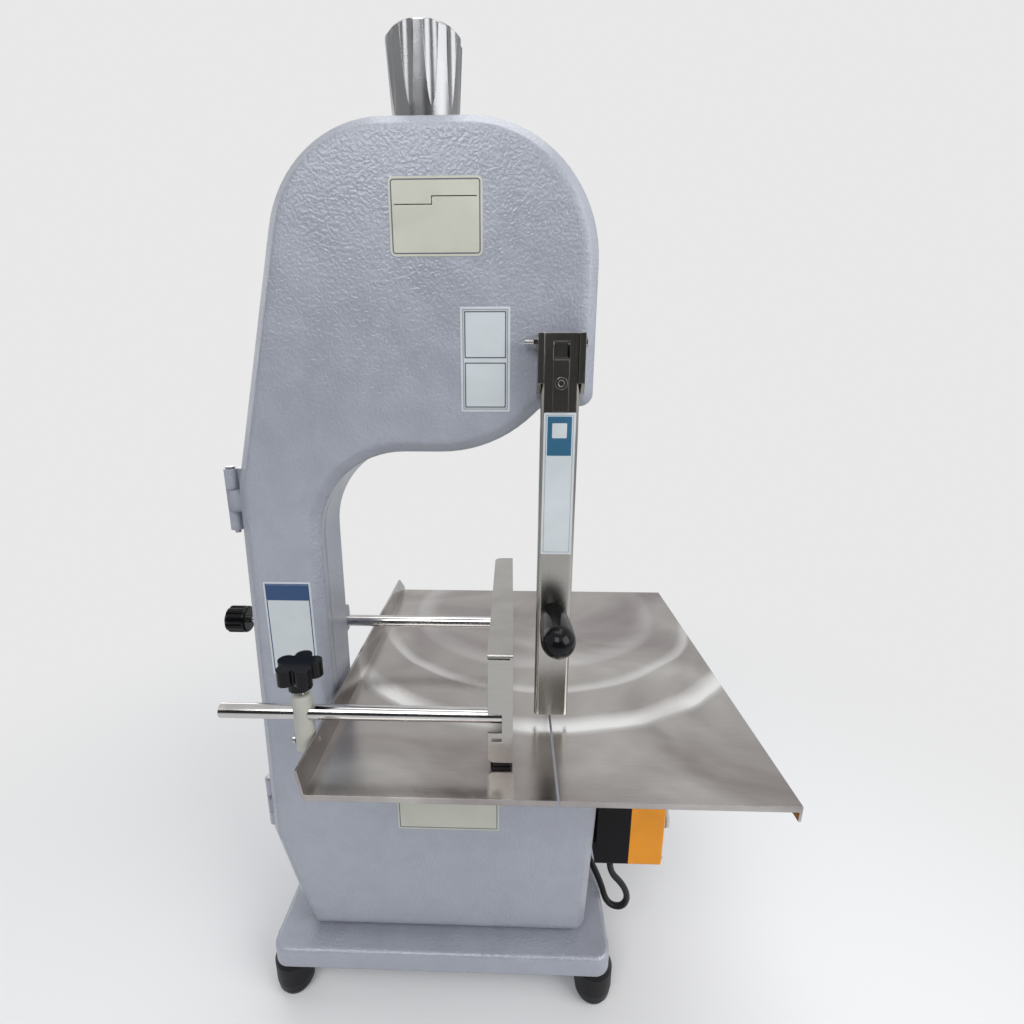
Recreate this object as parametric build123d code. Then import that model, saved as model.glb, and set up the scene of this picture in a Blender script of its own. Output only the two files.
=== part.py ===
from build123d import *
import math
import os

# Tabletop bone saw: a C-shaped cast body holds two band wheels, the lower one on the motor's shaft.
# Millimetres, +Z up. X = 0 is the wheels' centre line, Y = 0 the middle of their rims and Z = 0 the floor
# that the feet stand on. The operator stands on the -Y side. export_nodes() then moves the origin to the
# middle of the footprint.

# ---- driving dimensions ----
wheel_diameter = 210.0
blade_length = 1650.0
blade_width = 16.0
blade_thickness = 0.56
blade_seat = 0.1  # the blade's running gap on the rims

axle_above_base = 136.76  # the lower wheel's axle over the base
table_above_wheel = 29.54  # the tabletop over the lower wheel's rim
table_width = 364.0
table_depth = 382.0
table_left = -83.0
table_front = -134.5
sheet = 2.0  # stainless sheet of the table
flange_height = 21.0  # the table's left edge, bent up
flange_flare = 3.5
flange_drop = 13.0  # the table's right edge, bent down
hem_height = 5.0

body_front = -30.5  # face of the door
body_seam = -12.5  # back of the door
seam_gap = 0.3
body_back = 27.0  # back face of the casting
shell_wall = 5.5
back_wall = 6.0
door_chamfer = 7.5

base_width = 350.0
base_middle = -0.5
base_front = -53.5
base_depth = 292.0
base_thickness = 22.0
base_wall = 5.0
foot_height = 50.0
foot_radius = 19.5
foot_inset = 14.5

guard_width = 29.0
guard_depth = 8.5
guard_sheet = 2.0
guard_front = -47.8
guard_table_gap = 9.7
guard_above_throat = 54.0  # the guard's top over the head's lower edge

fence_right = 71.5
fence_flange = 19.5
fence_height = 99.0
fence_sheet = 2.5
fence_front = -102.0
fence_length = 213.0
rod_radius = 6.0
front_rod_y = -90.7
rear_rod_y = 69.7
rod_above_table = 39.5

running_fit = 0.08  # radial, a rod or shaft that slides or turns in its bore
press_room = 0.05  # radial, a bearing in the hub or on the shaft that turns with it
clearance = 0.3  # between pieces of different moving bodies

# ---- worked out from the above ----
wheel_radius = wheel_diameter / 2
blade_x = wheel_radius + blade_seat + blade_thickness / 2
wrap = math.pi * 2 * (wheel_radius + blade_seat + blade_thickness / 2)
wheel_distance = (blade_length - wrap) / 2
base_bottom = foot_height
base_top = base_bottom + base_thickness
lower_axle_height = base_top + axle_above_base
upper_axle_height = lower_axle_height + wheel_distance
floor_to_table = lower_axle_height + wheel_radius + table_above_wheel
table_under = floor_to_table - sheet
rod_height = floor_to_table + rod_above_table
casting_front = body_seam + seam_gap
back_inner = body_back - back_wall
door_inner = body_front + shell_wall


# ---- shapes that many pieces use ----
def block(x, y, z):
    """A box that spans three (low, high) pairs."""
    middle = [(a + b) / 2 for a, b in (x, y, z)]
    return Pos(*middle) * Box(x[1] - x[0], y[1] - y[0], z[1] - z[0])


TURN = {"X": Rotation(0, 90, 0), "Y": Rotation(-90, 0, 0), "Z": Rotation(0, 0, 0)}


def rod(axis, a, b, radius, span):
    """A cylinder along axis over span; a and b are its other two coordinates, in X, Y, Z order."""
    middle = (span[0] + span[1]) / 2
    place = {"X": (middle, a, b), "Y": (a, middle, b), "Z": (a, b, middle)}[axis]
    return Pos(*place) * (TURN[axis] * Cylinder(radius, abs(span[1] - span[0])))


def tube(axis, a, b, outer, inner, span):
    """A rod with a bore through it."""
    over = (span[0] - 1, span[1] + 1)
    return rod(axis, a, b, outer, span) - rod(axis, a, b, inner, over)


def hexagon(axis, a, b, across, span):
    """A hexagonal prism, across its flats."""
    middle = (span[0] + span[1]) / 2
    place = {"X": (middle, a, b), "Y": (a, middle, b), "Z": (a, b, middle)}[axis]
    flat = RegularPolygon(radius=across / 2, side_count=6, major_radius=False)
    length = abs(span[1] - span[0])
    return Pos(*place) * (TURN[axis] * Pos(0, 0, -length / 2) * extrude(flat, length))


def hex_bolt(axis, a, b, shank, tip, seat, head_height):
    """A bolt whose shank runs from tip to seat, with its hexagon head beyond the seat."""
    away = 1 if seat > tip else -1
    shaft = rod(axis, a, b, shank, (min(tip, seat), max(tip, seat)))
    low, high = sorted((seat, seat + away * head_height))
    return shaft + hexagon(axis, a, b, shank * 3.2, (low, high))


def socket_screw(axis, a, b, shank, tip, seat, head_radius, head_height):
    """A round-headed screw with a hexagon socket."""
    away = 1 if seat > tip else -1
    top = seat + away * head_height
    screw = rod(axis, a, b, shank, (min(tip, seat), max(tip, seat)))
    screw += rod(axis, a, b, head_radius, (min(seat, top), max(seat, top)))
    low, high = sorted((top + away, top - away * head_height * 0.55))
    return screw - hexagon(axis, a, b, head_radius * 0.95, (low, high))


def slab(face, y):
    """A face drawn in X and Z, made solid between two Y positions."""
    return Pos(0, y[1], 0) * extrude(Plane.XZ * face, y[1] - y[0])


def turned(points, axis, a, b):
    """A solid of revolution; points are (radius, place along the axis)."""
    profile = make_face(Polyline([(r, 0, h) for r, h in points], close=True))
    place = {"X": (0, a, b), "Y": (a, 0, b), "Z": (a, b, 0)}[axis]
    return Pos(*place) * (TURN[axis] * revolve(profile, Axis.Z))


def solids(*pieces):
    """Separate solids kept together as one node."""
    found = []
    for piece in pieces:
        found += piece.solids()
    return Compound(found)


# ---- the body's outline, seen from the front ----
head_top = upper_axle_height + 119.3
head_right = wheel_radius + 28.0
head_under = upper_axle_height - 82.7
throat_top = upper_axle_height - 119.7
throat_left = 10.0 - wheel_radius
housing_top = table_under - 10.3
housing_right = wheel_radius + 55.0
door_bottom = base_top + 3.0


def outline(bottom):
    """The C-shaped outline of the casting and its door, standing at the given height."""
    corners = [
        (-wheel_radius - 35.5, bottom, 9),
        (-wheel_radius - 65, bottom + 121, 12),
        (-wheel_radius - 57, upper_axle_height - 150, 60),
        (7.6 - wheel_radius, head_top, 92),
        (head_right, head_top, 97),
        (head_right, head_under, 10),
        (head_right - 40, head_under, 12),
        (head_right - 78, throat_top, 108),
        (throat_left, throat_top, 76),
        (throat_left - 1.5, housing_top, 5),
        (housing_right, housing_top, 8),
        (housing_right - 11, bottom, 9),
    ]
    edge = FilletPolyline([(x, z) for x, z, _ in corners], radius=[r for _, _, r in corners], close=True)
    return make_face(edge)


# ---- hinges and latch between casting and door ----
hinge_x = -wheel_radius - 68.5
hinge_y = body_seam
hinge_radius = 5.5
hinge_pin_radius = 2.5
hinge_length = 54.0
hinge_places = (  # each hinge's low end and how far its leaves reach
    (lower_axle_height - 14.8, 8.0),
    (upper_axle_height - 190.7, 16.0),
)
knuckle_gap = 0.3
latch_height = table_under - 41.3
latch_x = housing_right + 8.0
latch_radius = 4.0
tension_y = 22.0
carriage_width = 52.0
carriage_height = 84.0
carriage_travel = 4.0
window_clearance = 0.3
blade_slot = 5.0
motor_pilot_radius = 34.0
motor_bolt_circle = 51.0
motor_bolt_radius = 3.0


def hinge_knuckle(low, high, reach, leaf_y):
    """Part of one hinge's barrel, with the leaf that runs to the body's edge."""
    barrel = rod("Z", hinge_x, hinge_y, hinge_radius, (low, high))
    leaf = block((hinge_x, hinge_x + reach), leaf_y, (low, high))
    return (barrel + leaf) - rod("Z", hinge_x, hinge_y, hinge_pin_radius + running_fit, (low - 1, high + 1))


def casting_knuckles():
    """The two outer knuckles of each hinge."""
    third = hinge_length / 3
    leaf_y = (casting_front, hinge_y + 9)
    pieces = []
    for low, reach in hinge_places:
        pieces.append(hinge_knuckle(low, low + third - knuckle_gap, reach, leaf_y))
        pieces.append(hinge_knuckle(low + 2 * third + knuckle_gap, low + hinge_length, reach, leaf_y))
    return pieces


def door_knuckles():
    """The middle knuckle of each hinge."""
    third = hinge_length / 3
    leaf_y = (hinge_y - 9, hinge_y)
    return [hinge_knuckle(low + third, low + 2 * third, reach, leaf_y) for low, reach in hinge_places]


def hinge_pins():
    """Two headed pins through the knuckles."""
    pins = []
    for low, _ in hinge_places:
        pin = rod("Z", hinge_x, hinge_y, hinge_pin_radius, (low - 3, low + hinge_length))
        pins.append(pin + rod("Z", hinge_x, hinge_y, 4.0, (low + hinge_length, low + hinge_length + 2)))
    return solids(*pins)


def hinge_rooms():
    """What both shells leave free round each hinge's barrel and pin."""
    return [rod("Z", hinge_x, hinge_y, hinge_radius + 1, (low - 4, low + hinge_length + 4))
            for low, _ in hinge_places]


def body_casting():
    """The C-shaped casting: a tray open to the front, with its windows, slots, bosses and lugs."""
    outer = outline(base_top)
    shell = slab(outer, (casting_front, body_back))
    shell -= slab(offset(outer, amount=-shell_wall), (casting_front - 1, back_inner))
    foot = block((-132, 140), (casting_front + 8, back_inner + 1), (base_top + 1, base_top + 10))
    shell += foot
    room = (upper_axle_height - carriage_height / 2 - carriage_travel - window_clearance,
            upper_axle_height + carriage_height / 2 + window_clearance)
    half = carriage_width / 2 + window_clearance
    shell -= block((-half, half), (back_inner - 1, body_back + 1), room)
    shell -= rod("Y", 0, lower_axle_height, motor_pilot_radius + 0.1, (back_inner - 1, body_back + 1))
    for turn in range(4):
        angle = math.radians(45 + 90 * turn)
        x = motor_bolt_circle * math.cos(angle)
        z = lower_axle_height + motor_bolt_circle * math.sin(angle)
        shell -= rod("Y", x, z, motor_bolt_radius + 0.2, (back_inner - 1, body_back + 1))
    for x in bracket_x:
        for side in (-1, 1):
            shell -= rod("Y", x + side * bracket_bolt_offset, bracket_bolt_height, bracket_bolt_radius + 0.2,
                         (back_inner - 1, body_back + 1))
    slot = (blade_x - blade_slot, blade_x + blade_slot)
    shell -= block(slot, (casting_front - 1, 11), (head_under - 2, head_under + 12))
    shell -= block(slot, (casting_front - 1, 11), (housing_top - 12, housing_top + 2))
    for x in casting_bolt_x:
        shell -= rod("Z", x, casting_bolt_y, casting_bolt_radius + 0.2, (base_top - 1, base_top + 12))
    groove = tension_bush_radius + 1
    shell -= block((-groove, groove), (tension_y - groove, body_back + 1),
                   (room[1] - 1, head_top - boss_depth))
    shell += block((-17, 17), (hub_back + 1, body_back + 19), (head_top - boss_depth, head_top - 1))
    shell -= rod("Z", 0, tension_y, tension_bush_radius, (head_top - boss_depth - 1, head_top + 2))
    lug = block((housing_right - 4, latch_x + 8), (casting_front, casting_front + 10),
                (latch_height - 9, latch_height + 9))
    shell += lug
    shell -= rod("Y", latch_x, latch_height, latch_radius + clearance,
                 (casting_front - 1, casting_front + 11))
    for room in hinge_rooms():
        shell -= room
    for knuckle in casting_knuckles():
        shell += knuckle
    return shell


def door():
    """The full-outline front door, a shallow tray with a wide bevel round its face."""
    outer = outline(door_bottom)
    cover = slab(outer, (body_front, body_seam))
    face = cover.faces().sort_by(Axis.Y)[0]
    cover = chamfer(face.edges(), door_chamfer)
    cover -= slab(offset(outer, amount=-shell_wall), (door_inner, body_seam + 1))
    lug = block((housing_right - 4, latch_x + 8), (body_seam - 8, body_seam),
                (latch_height - 9, latch_height + 9))
    cover += lug
    cover -= rod("Y", latch_x, latch_height, latch_radius + running_fit, (body_seam - 9, body_seam + 1))
    for z in holder_screw_z:
        cover -= rod("Y", blade_x, z, 2.1, (body_front - 1, door_inner + 1))
    for room in hinge_rooms():
        cover -= room
    for knuckle in door_knuckles():
        cover += knuckle
    return cover


def latch_screw():
    """The captive thumb screw that holds the door shut."""
    knob_seat = body_seam - 8 - clearance
    screw = rod("Y", latch_x, latch_height, latch_radius, (knob_seat, casting_front + 6))
    grip = rod("Y", latch_x, latch_height, 7.5, (knob_seat - 9, knob_seat))
    for turn in range(12):
        angle = math.radians(30 * turn)
        x = latch_x + 8.2 * math.cos(angle)
        z = latch_height + 8.2 * math.sin(angle)
        grip -= rod("Y", x, z, 1.3, (knob_seat - 10, knob_seat + 0.1))
    return screw + grip


# ---- base ----
casting_bolt_x = (-110.0, -40.0, 40.0, 115.0)
casting_bolt_y = 10.0
casting_bolt_radius = 4.0
tension_bush_radius = 10.0
boss_depth = 13.0  # the boss in the head's top wall that the tension screw comes through
foot_bolt_radius = 4.0
base_x = (base_middle - base_width / 2, base_middle + base_width / 2)
base_y = (base_front, base_front + base_depth)
foot_x = (base_x[0] + foot_inset, base_x[1] - foot_inset)
foot_y = (base_front + foot_radius + 1, base_front + base_depth - foot_radius - 1)


def base_plate():
    """The base: a tray turned upside down, with bosses for the feet and for the casting's bolts."""
    plate = block(base_x, base_y, (base_bottom, base_top))
    plate = fillet(plate.edges().filter_by(Axis.Z), 16)
    plate = fillet(plate.faces().sort_by(Axis.Z)[-1].edges(), 5)
    inside_x = (base_x[0] + base_wall, base_x[1] - base_wall)
    inside_y = (base_y[0] + base_wall, base_y[1] - base_wall)
    hollow = block(inside_x, inside_y, (base_bottom - 1, base_top - base_wall - 1))
    plate -= fillet(hollow.edges().filter_by(Axis.Z), 11)
    for x in foot_x:
        for y in foot_y:
            boss = rod("Z", x, y, foot_radius - 5.5, (base_bottom, base_top - 2))
            plate = plate + boss
            plate -= rod("Z", x, y, foot_bolt_radius + 0.1, (base_bottom - 1, base_top - base_wall))
    for x in casting_bolt_x:
        plate += rod("Z", x, casting_bolt_y, 12, (base_bottom + 8, base_top - 2))
        plate -= rod("Z", x, casting_bolt_y, casting_bolt_radius + 0.2, (base_bottom, base_top + 1))
    return plate


def rubber_feet():
    """Four domed rubber feet with a steel stud moulded in."""
    r = foot_radius
    shape = [(0, 0), (11, 0), (15.5, 3), (18.3, 9), (r, 18), (r, foot_height - 9),
             (r - 3, foot_height - 2), (r - 6, foot_height), (0, foot_height)]
    feet = [turned(shape, "Z", x, y) - rod("Z", x, y, foot_bolt_radius, (foot_height - 16, foot_height + 1))
            for x in foot_x for y in foot_y]
    return solids(*feet)


def foot_studs():
    """The threaded studs that hold the feet in the base's bosses."""
    top = base_top - base_wall - 1
    return solids(*[rod("Z", x, y, foot_bolt_radius, (foot_height - 16, top))
                    for x in foot_x for y in foot_y])


def casting_bolts():
    """Four bolts from under the base into the casting's foot, each with its nut inside."""
    bolts = []
    for x in casting_bolt_x:
        bolt = hex_bolt("Z", x, casting_bolt_y, casting_bolt_radius, base_top + 20, base_bottom + 8, 5.3)
        nut = hexagon("Z", x, casting_bolt_y, casting_bolt_radius * 3.2, (base_top + 10, base_top + 16.5))
        nut -= rod("Z", x, casting_bolt_y, casting_bolt_radius, (base_top + 9, base_top + 18))
        bolts += [bolt, nut]
    return solids(*bolts)


# ---- wheels, blade and drive ----
rim_half = 9.0
flange_lip = 2.5
hub_radius = 27.0
hub_front = -16.0
hub_back = 9.0
bearing_radius = 20.0
bearing_width = 12.0
upper_shaft_radius = 8.5
motor_shaft_radius = 9.5
blade_front = -10.0
blade_y = (blade_front, blade_front + blade_width)
motor_back = body_back + 178.0
motor_radius = 58.0


def wheel(height, bore):
    """A band wheel: rim with a rear flange, a thin web with six holes and a hub."""
    r = wheel_radius
    flange = blade_y[1] + clearance
    shape = [(bore, hub_front), (hub_radius, hub_front), (hub_radius, -3), (r - 9, -3), (r - 9, -rim_half),
             (r, -rim_half), (r, flange), (r + flange_lip, flange), (r + flange_lip, rim_half),
             (r - 9, rim_half), (r - 9, 3), (hub_radius, 3), (hub_radius, hub_back), (bore, hub_back)]
    disc = turned(shape, "Y", 0, height)
    middle = (hub_radius + r - 9) / 2
    for turn in range(6):
        angle = math.radians(30 + 60 * turn)
        disc -= rod("Y", middle * math.cos(angle), height + middle * math.sin(angle), 17, (-5, 5))
    return disc


def bearing(height, y, shaft):
    """A sealed ball bearing drawn as its two rings and shields in one ring."""
    ring = tube("Y", 0, height, bearing_radius, shaft, (y, y + bearing_width))
    groove = tube("Y", 0, height, bearing_radius - 4, shaft + 4, (y - 1, y + 0.8))
    return ring - groove


def upper_bearings():
    """The pair of bearings in the upper wheel's hub."""
    first = hub_front + 0.4
    return solids(bearing(upper_axle_height, first, upper_shaft_radius),
                  bearing(upper_axle_height, first + bearing_width + 0.2, upper_shaft_radius))


def band_loop():
    """The endless saw blade: two straight runs and two half turns."""
    outer = wheel_radius + blade_seat + blade_thickness
    inner = wheel_radius + blade_seat
    ring = None
    for radius in (outer, inner):
        middle = (upper_axle_height + lower_axle_height) / 2
        shape = Pos(0, middle) * (Rotation(0, 0, 90) * SlotCenterToCenter(wheel_distance, 2 * radius))
        ring = shape if ring is None else ring - shape
    return slab(ring, blade_y)


def carriage():
    """The sliding block that carries the upper axle behind the casting's window."""
    half = carriage_width / 2
    low = upper_axle_height - carriage_height / 2
    high = upper_axle_height + carriage_height / 2
    block_y = (hub_back + 1.5, 33.0)
    body = block((-half, half), block_y, (low, high))
    body += block((-half - 8, half + 8), (body_back + clearance, 33.0), (low, high))
    body -= rod("Y", 0, upper_axle_height, upper_shaft_radius, (block_y[0] - 1, 34.0))
    body -= rod("Z", 0, tension_y, tension_screw_radius + running_fit, (upper_axle_height + 12, high + 1))
    return fillet(body.edges().filter_by(Axis.Y).group_by(Axis.Z)[-1], 3)


def upper_axle():
    """The stub axle pressed in the carriage, shouldered behind the bearings."""
    shoulder = rod("Y", 0, upper_axle_height, 12, (hub_back - 0.2, hub_back + 1.5))
    return rod("Y", 0, upper_axle_height, upper_shaft_radius, (hub_front, 33.0)) + shoulder


def axle_end_bolt(height, shaft_front):
    """The bolt and washer on a shaft's end that hold a wheel on."""
    washer_y = (shaft_front - clearance - 2, shaft_front - clearance)
    washer = rod("Y", 0, height, 16, washer_y)
    head = hexagon("Y", 0, height, 13, (washer_y[0] - 5.3, washer_y[0]))
    return washer + head + rod("Y", 0, height, 4, (washer_y[0], shaft_front + 1))


tension_screw_radius = 6.0
knob_base = head_top + 1.5
knob_height = 66.5
knob_flutes = 10
knob_flute_radius = 8.0
tension_screw_end = upper_axle_height + 14.0


rail_width = 14.0
rail_inner = carriage_width / 2 + 8 + clearance
rail_back = 33.0 + clearance
cover_back = rail_back + 3.0
rail_z = (upper_axle_height - 56, head_top - 14)
rail_screw_z = (rail_z[0] + 9, rail_z[1] - 9)
rail_screw_x = (-rail_inner - rail_width / 2, rail_inner + rail_width / 2)


def guide_rails():
    """Two rails on the casting's back between which the carriage's wings slide."""
    rails = []
    for screw_x in rail_screw_x:
        x = (screw_x - rail_width / 2, screw_x + rail_width / 2)
        rail = block(x, (body_back, rail_back), rail_z)
        for place in rail_screw_z:
            rail -= rod("Y", screw_x, place, 2.7, (body_back - 1, rail_back + 1))
        rails.append(rail)
    return solids(*rails)


def carriage_cover():
    """The plate over the rails that keeps the carriage in and the dirt out."""
    half = rail_inner + rail_width
    plate = block((-half, half), (rail_back, cover_back), rail_z)
    plate = fillet(plate.edges().filter_by(Axis.Y), 4)
    for x in rail_screw_x:
        for place in rail_screw_z:
            plate -= rod("Y", x, place, 2.7, (rail_back - 1, cover_back + 1))
    return plate


def cover_screws():
    """Four screws through the carriage cover and rails."""
    return solids(*[socket_screw("Y", x, z, 2.5, body_back + 0.5, cover_back, 4.5, 3)
                    for x in rail_screw_x for z in rail_screw_z])


def tension_bush():
    """The flanged bush in the head's top wall."""
    bush = rod("Z", 0, tension_y, tension_bush_radius, (head_top - boss_depth, head_top))
    bush += rod("Z", 0, tension_y, tension_bush_radius + 4, (head_top, head_top + 1.2))
    return bush - rod("Z", 0, tension_y, tension_screw_radius + running_fit, (head_top - 15, head_top + 3))


def tension_knob():
    """The tall fluted knob on the head, wider at its top, so that the flutes run out at its foot."""
    lower, upper = 25.5, 29.2
    top = knob_base + knob_height
    shape = [(0, knob_base), (lower - 1, knob_base), (lower, knob_base + 1), (upper, top - 3),
             (upper - 3, top), (0, top)]
    knob = turned(shape, "Z", 0, tension_y)
    flute = rod("Z", upper + 5, 0, knob_flute_radius, (knob_base - 1, top + 1))
    for turn in range(knob_flutes):
        knob -= Pos(0, tension_y, 0) * (Rotation(0, 0, 360 / knob_flutes * turn) * flute)
    return knob - rod("Z", 0, tension_y, tension_screw_radius, (knob_base - 1, knob_base + 40))


def tension_screw():
    """The screw from the knob down through the bush into the carriage."""
    top = head_top - boss_depth - clearance
    collar = rod("Z", 0, tension_y, tension_bush_radius, (top - 4, top))
    return rod("Z", 0, tension_y, tension_screw_radius, (tension_screw_end, knob_base + 40)) + collar


guide_half = 8.0
roller_radius = 5.0
roller_y = blade_y[1] + clearance + roller_radius
roller_pin_radius = 1.6
upper_guide = (head_under + shell_wall + 0.5, head_under + shell_wall + 24.5)
lower_guide = (housing_top - 42, housing_top - 14)


def blade_guide(low, high):
    """A guide block on the casting's back wall, slotted for the blade and its roller."""
    middle = (low + high) / 2
    body = block((blade_x - guide_half, blade_x + guide_half), (-7, back_inner), (low, high))
    body = fillet(body.edges().filter_by(Axis.Z).group_by(Axis.Y)[0], 2)
    body -= block((blade_x - 0.7, blade_x + 0.7), (-8, roller_y), (low - 1, high + 1))
    body -= rod("X", roller_y, middle, roller_radius + clearance, (blade_x - 4, blade_x + 4))
    return body - rod("X", roller_y, middle, roller_pin_radius, (blade_x - 9, blade_x + 9))


def guide_roller(low, high):
    """The hard roller behind the blade's back edge."""
    middle = (low + high) / 2
    span = (blade_x - 3.7, blade_x + 3.7)
    return tube("X", roller_y, middle, roller_radius, roller_pin_radius + running_fit, span)


def roller_pins():
    """The pins that carry the two guide rollers."""
    span = (blade_x - guide_half, blade_x + guide_half)
    return solids(*[rod("X", roller_y, (low + high) / 2, roller_pin_radius, span)
                    for low, high in (upper_guide, lower_guide)])


scraper_reach = wheel_radius + 0.4
scraper_depth = 4.0
scraper_neck = 1.5  # thin enough to pass over the rim's rear flange


def scraper_blade(side):
    """The plastic edge that a wheel's rim runs past, above or below a wheel at the origin."""
    z = sorted((side * scraper_reach, side * (scraper_reach + scraper_depth)))
    return block((-4, 4), (-8, blade_y[1] - 0.5), z)


def upper_scraper():
    """The upper wheel's scraper, under the wheel on an arm from the carriage."""
    tip = -(scraper_reach + scraper_depth)
    neck = block((-4, 4), (-8, 14), (tip, tip + scraper_neck))
    arm = block((-8, 8), (hub_back + 1.9, 14), (tip, -carriage_height / 2))
    return Pos(0, 0, upper_axle_height) * (scraper_blade(-1) + neck + arm)


def lower_scraper():
    """The lower wheel's scraper, over the wheel on a foot against the back wall."""
    tip = scraper_reach + scraper_depth
    neck = block((-4, 4), (-8, 13), (tip - scraper_neck, tip))
    foot = block((-9, 9), (12, back_inner), (tip - 20, tip))
    return Pos(0, 0, lower_axle_height) * (scraper_blade(1) + neck + foot)


# ---- motor ----
shield_depth = 14.0
rear_shield_y = motor_back - 46.0
stator_y = (body_back + 42, rear_shield_y - 16)
fan_y = (motor_back - 22, motor_back - 8)


def motor_shaft():
    """The shaft from the fan through the rotor to the lower wheel."""
    shaft = rod("Y", 0, lower_axle_height, motor_shaft_radius, (hub_front, fan_y[1]))
    shoulder = rod("Y", 0, lower_axle_height, 12.5, (hub_back + 0.2, hub_back + 7))
    return shaft + shoulder


def motor_shields():
    """The two end shields, the front one with its square flange and pilot on the casting."""
    z = lower_axle_height
    front = tube("Y", 0, z, motor_radius, 23.6, (body_back, body_back + shield_depth))
    front += tube("Y", 0, z, motor_pilot_radius, 14, (back_inner, body_back + 1))
    for turn in range(4):
        angle = math.radians(45 + 90 * turn)
        x = motor_bolt_circle * math.cos(angle)
        front -= rod("Y", x, z + motor_bolt_circle * math.sin(angle), motor_bolt_radius,
                     (body_back - 1, body_back + 11))
    back = tube("Y", 0, z, motor_radius, 23.6, (rear_shield_y, rear_shield_y + shield_depth))
    return front, back


def motor_bearings():
    """The two bearings that the shaft runs in."""
    rings = []
    for y in (body_back + 1.2, rear_shield_y):
        ring = tube("Y", 0, lower_axle_height, 23.5, motor_shaft_radius + press_room, (y, y + 12))
        rings.append(ring - tube("Y", 0, lower_axle_height, 19, 14, (y - 1, y + 0.8)))
    return solids(*rings)


def motor_housing():
    """The finned barrel between the end shields."""
    z = lower_axle_height
    span = (body_back + shield_depth, rear_shield_y)
    barrel = tube("Y", 0, z, motor_radius, motor_radius - 6, span)
    for turn in range(24):
        angle = 15 * turn
        fin = block((motor_radius - 1, motor_radius + 7), (span[0] + 4, span[1] - 4), (-1.2, 1.2))
        barrel += Pos(0, 0, z) * (Rotation(0, angle, 0) * fin)
    return barrel


def motor_stator():
    """The wound stator pressed in the barrel, with the windings' end turns."""
    z = lower_axle_height
    core = tube("Y", 0, z, motor_radius - 6, 33, stator_y)
    for y in ((stator_y[0] - 12, stator_y[0]), (stator_y[1], stator_y[1] + 12)):
        core += tube("Y", 0, z, motor_radius - 11, 37, y)
    return core


def motor_rotor():
    """The rotor on the shaft."""
    return tube("Y", 0, lower_axle_height, 32.5, motor_shaft_radius, stator_y)


def cooling_fan():
    """The plastic fan on the shaft's rear end."""
    z = lower_axle_height
    fan = tube("Y", 0, z, 15, motor_shaft_radius, fan_y)
    fan += tube("Y", 0, z, 50, 13, (fan_y[0], fan_y[0] + 2.5))
    for turn in range(8):
        blade = block((14, 48), fan_y, (-1.2, 1.2))
        fan += Pos(0, 0, z) * (Rotation(0, 45 * turn, 0) * blade)
    return fan


def fan_cover():
    """The pressed cowl over the fan, with its ring of air slots."""
    z = lower_axle_height
    span = (rear_shield_y + shield_depth, motor_back)
    cowl = rod("Y", 0, z, motor_radius, span)
    cowl -= rod("Y", 0, z, motor_radius - 2, (span[0] - 1, motor_back - 2))
    for turn in range(12):
        slot = block((22, 46), (motor_back - 3, motor_back + 1), (-2, 2))
        cowl -= Pos(0, 0, z) * (Rotation(0, 30 * turn, 0) * slot)
    return cowl


def terminal_box():
    """The terminal box on the motor, under the table."""
    low = lower_axle_height + motor_radius - 4
    y = (body_back + 40, body_back + 110)
    box = block((-34, 34), y, (low, low + 42))
    box = fillet(box.edges().filter_by(Axis.Z), 5)
    box -= rod("Y", 0, lower_axle_height, motor_radius + 7.3, (y[0] - 1, y[1] + 1))
    box -= block((-31, 31), (y[0] + 3, y[1] - 3), (lower_axle_height + motor_radius + 11, low + 39))
    return box - rod("X", terminal_gland_y, terminal_gland_z, 6.0, (30, 35))


def motor_bolts():
    """Four bolts through the casting's back wall into the motor's front shield."""
    bolts = []
    for turn in range(4):
        angle = math.radians(45 + 90 * turn)
        x = motor_bolt_circle * math.cos(angle)
        z = lower_axle_height + motor_bolt_circle * math.sin(angle)
        bolts.append(hex_bolt("Y", x, z, motor_bolt_radius, body_back + 10, back_inner, 4))
    return solids(*bolts)


# ---- table ----
table_right = table_left + table_width
table_y = (table_front, table_front + table_depth)
slit_half = 0.9
blade_hole_half = 4.0
bracket_x = (-66.0, 84.0)
bracket_length = 190.0
bracket_bolt_offset = 9.5
bracket_bolt_height = table_under - 66.3
bracket_bolt_radius = 3.0
table_bolt_radius = 3.0
post_x = -96.6
post_radius = 7.9
post_top_above = 56.0
post_low = floor_to_table + 7.0
post_screw_height = floor_to_table + 14.0
post_screw_radius = 2.5
post_screw_head = 4.0
post_screw_seat = post_x - post_radius + 0.4  # a flat sunk into the round post


def profile_strip(points, y):
    """A closed outline in X and Z made solid between two Y positions."""
    return slab(make_face(Polyline(points, close=True)), y)


def table():
    """The folded stainless table, slit from its front edge to the blade."""
    t = sheet
    top = floor_to_table
    up = top + flange_height
    out = flange_flare
    section = [(table_left, top), (table_left - out, up),
               (table_left - out - t, up), (table_left - t, top - t),
               (table_right - t, top - t), (table_right - t, top - flange_drop),
               (table_right, top - flange_drop), (table_right, top)]
    plate = profile_strip(section, table_y)
    for y in (table_y[0], table_y[1] - t):
        plate += block((table_left, table_right), (y, y + t), (top - hem_height, top - t / 2))
    corner = 16.0
    tip = make_face(Polyline([(table_y[1] - corner, up + 1), (table_y[1] + 1, up + 1),
                              (table_y[1] + 1, top + 4)], close=True))
    cut = Pos(table_left - out - 2 * t, 0, 0) * extrude(Plane.YZ * tip, out + 4 * t)
    plate -= cut
    plate -= post_screw_room()
    plate -= block((blade_x - slit_half, blade_x + slit_half), (table_y[0] - 1, 0), (top - 10, top + 1))
    plate -= block((blade_x - blade_hole_half, blade_x + blade_hole_half), (blade_front - 4, blade_y[1] + 5),
                   (top - 10, top + 1))
    return plate


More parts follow.
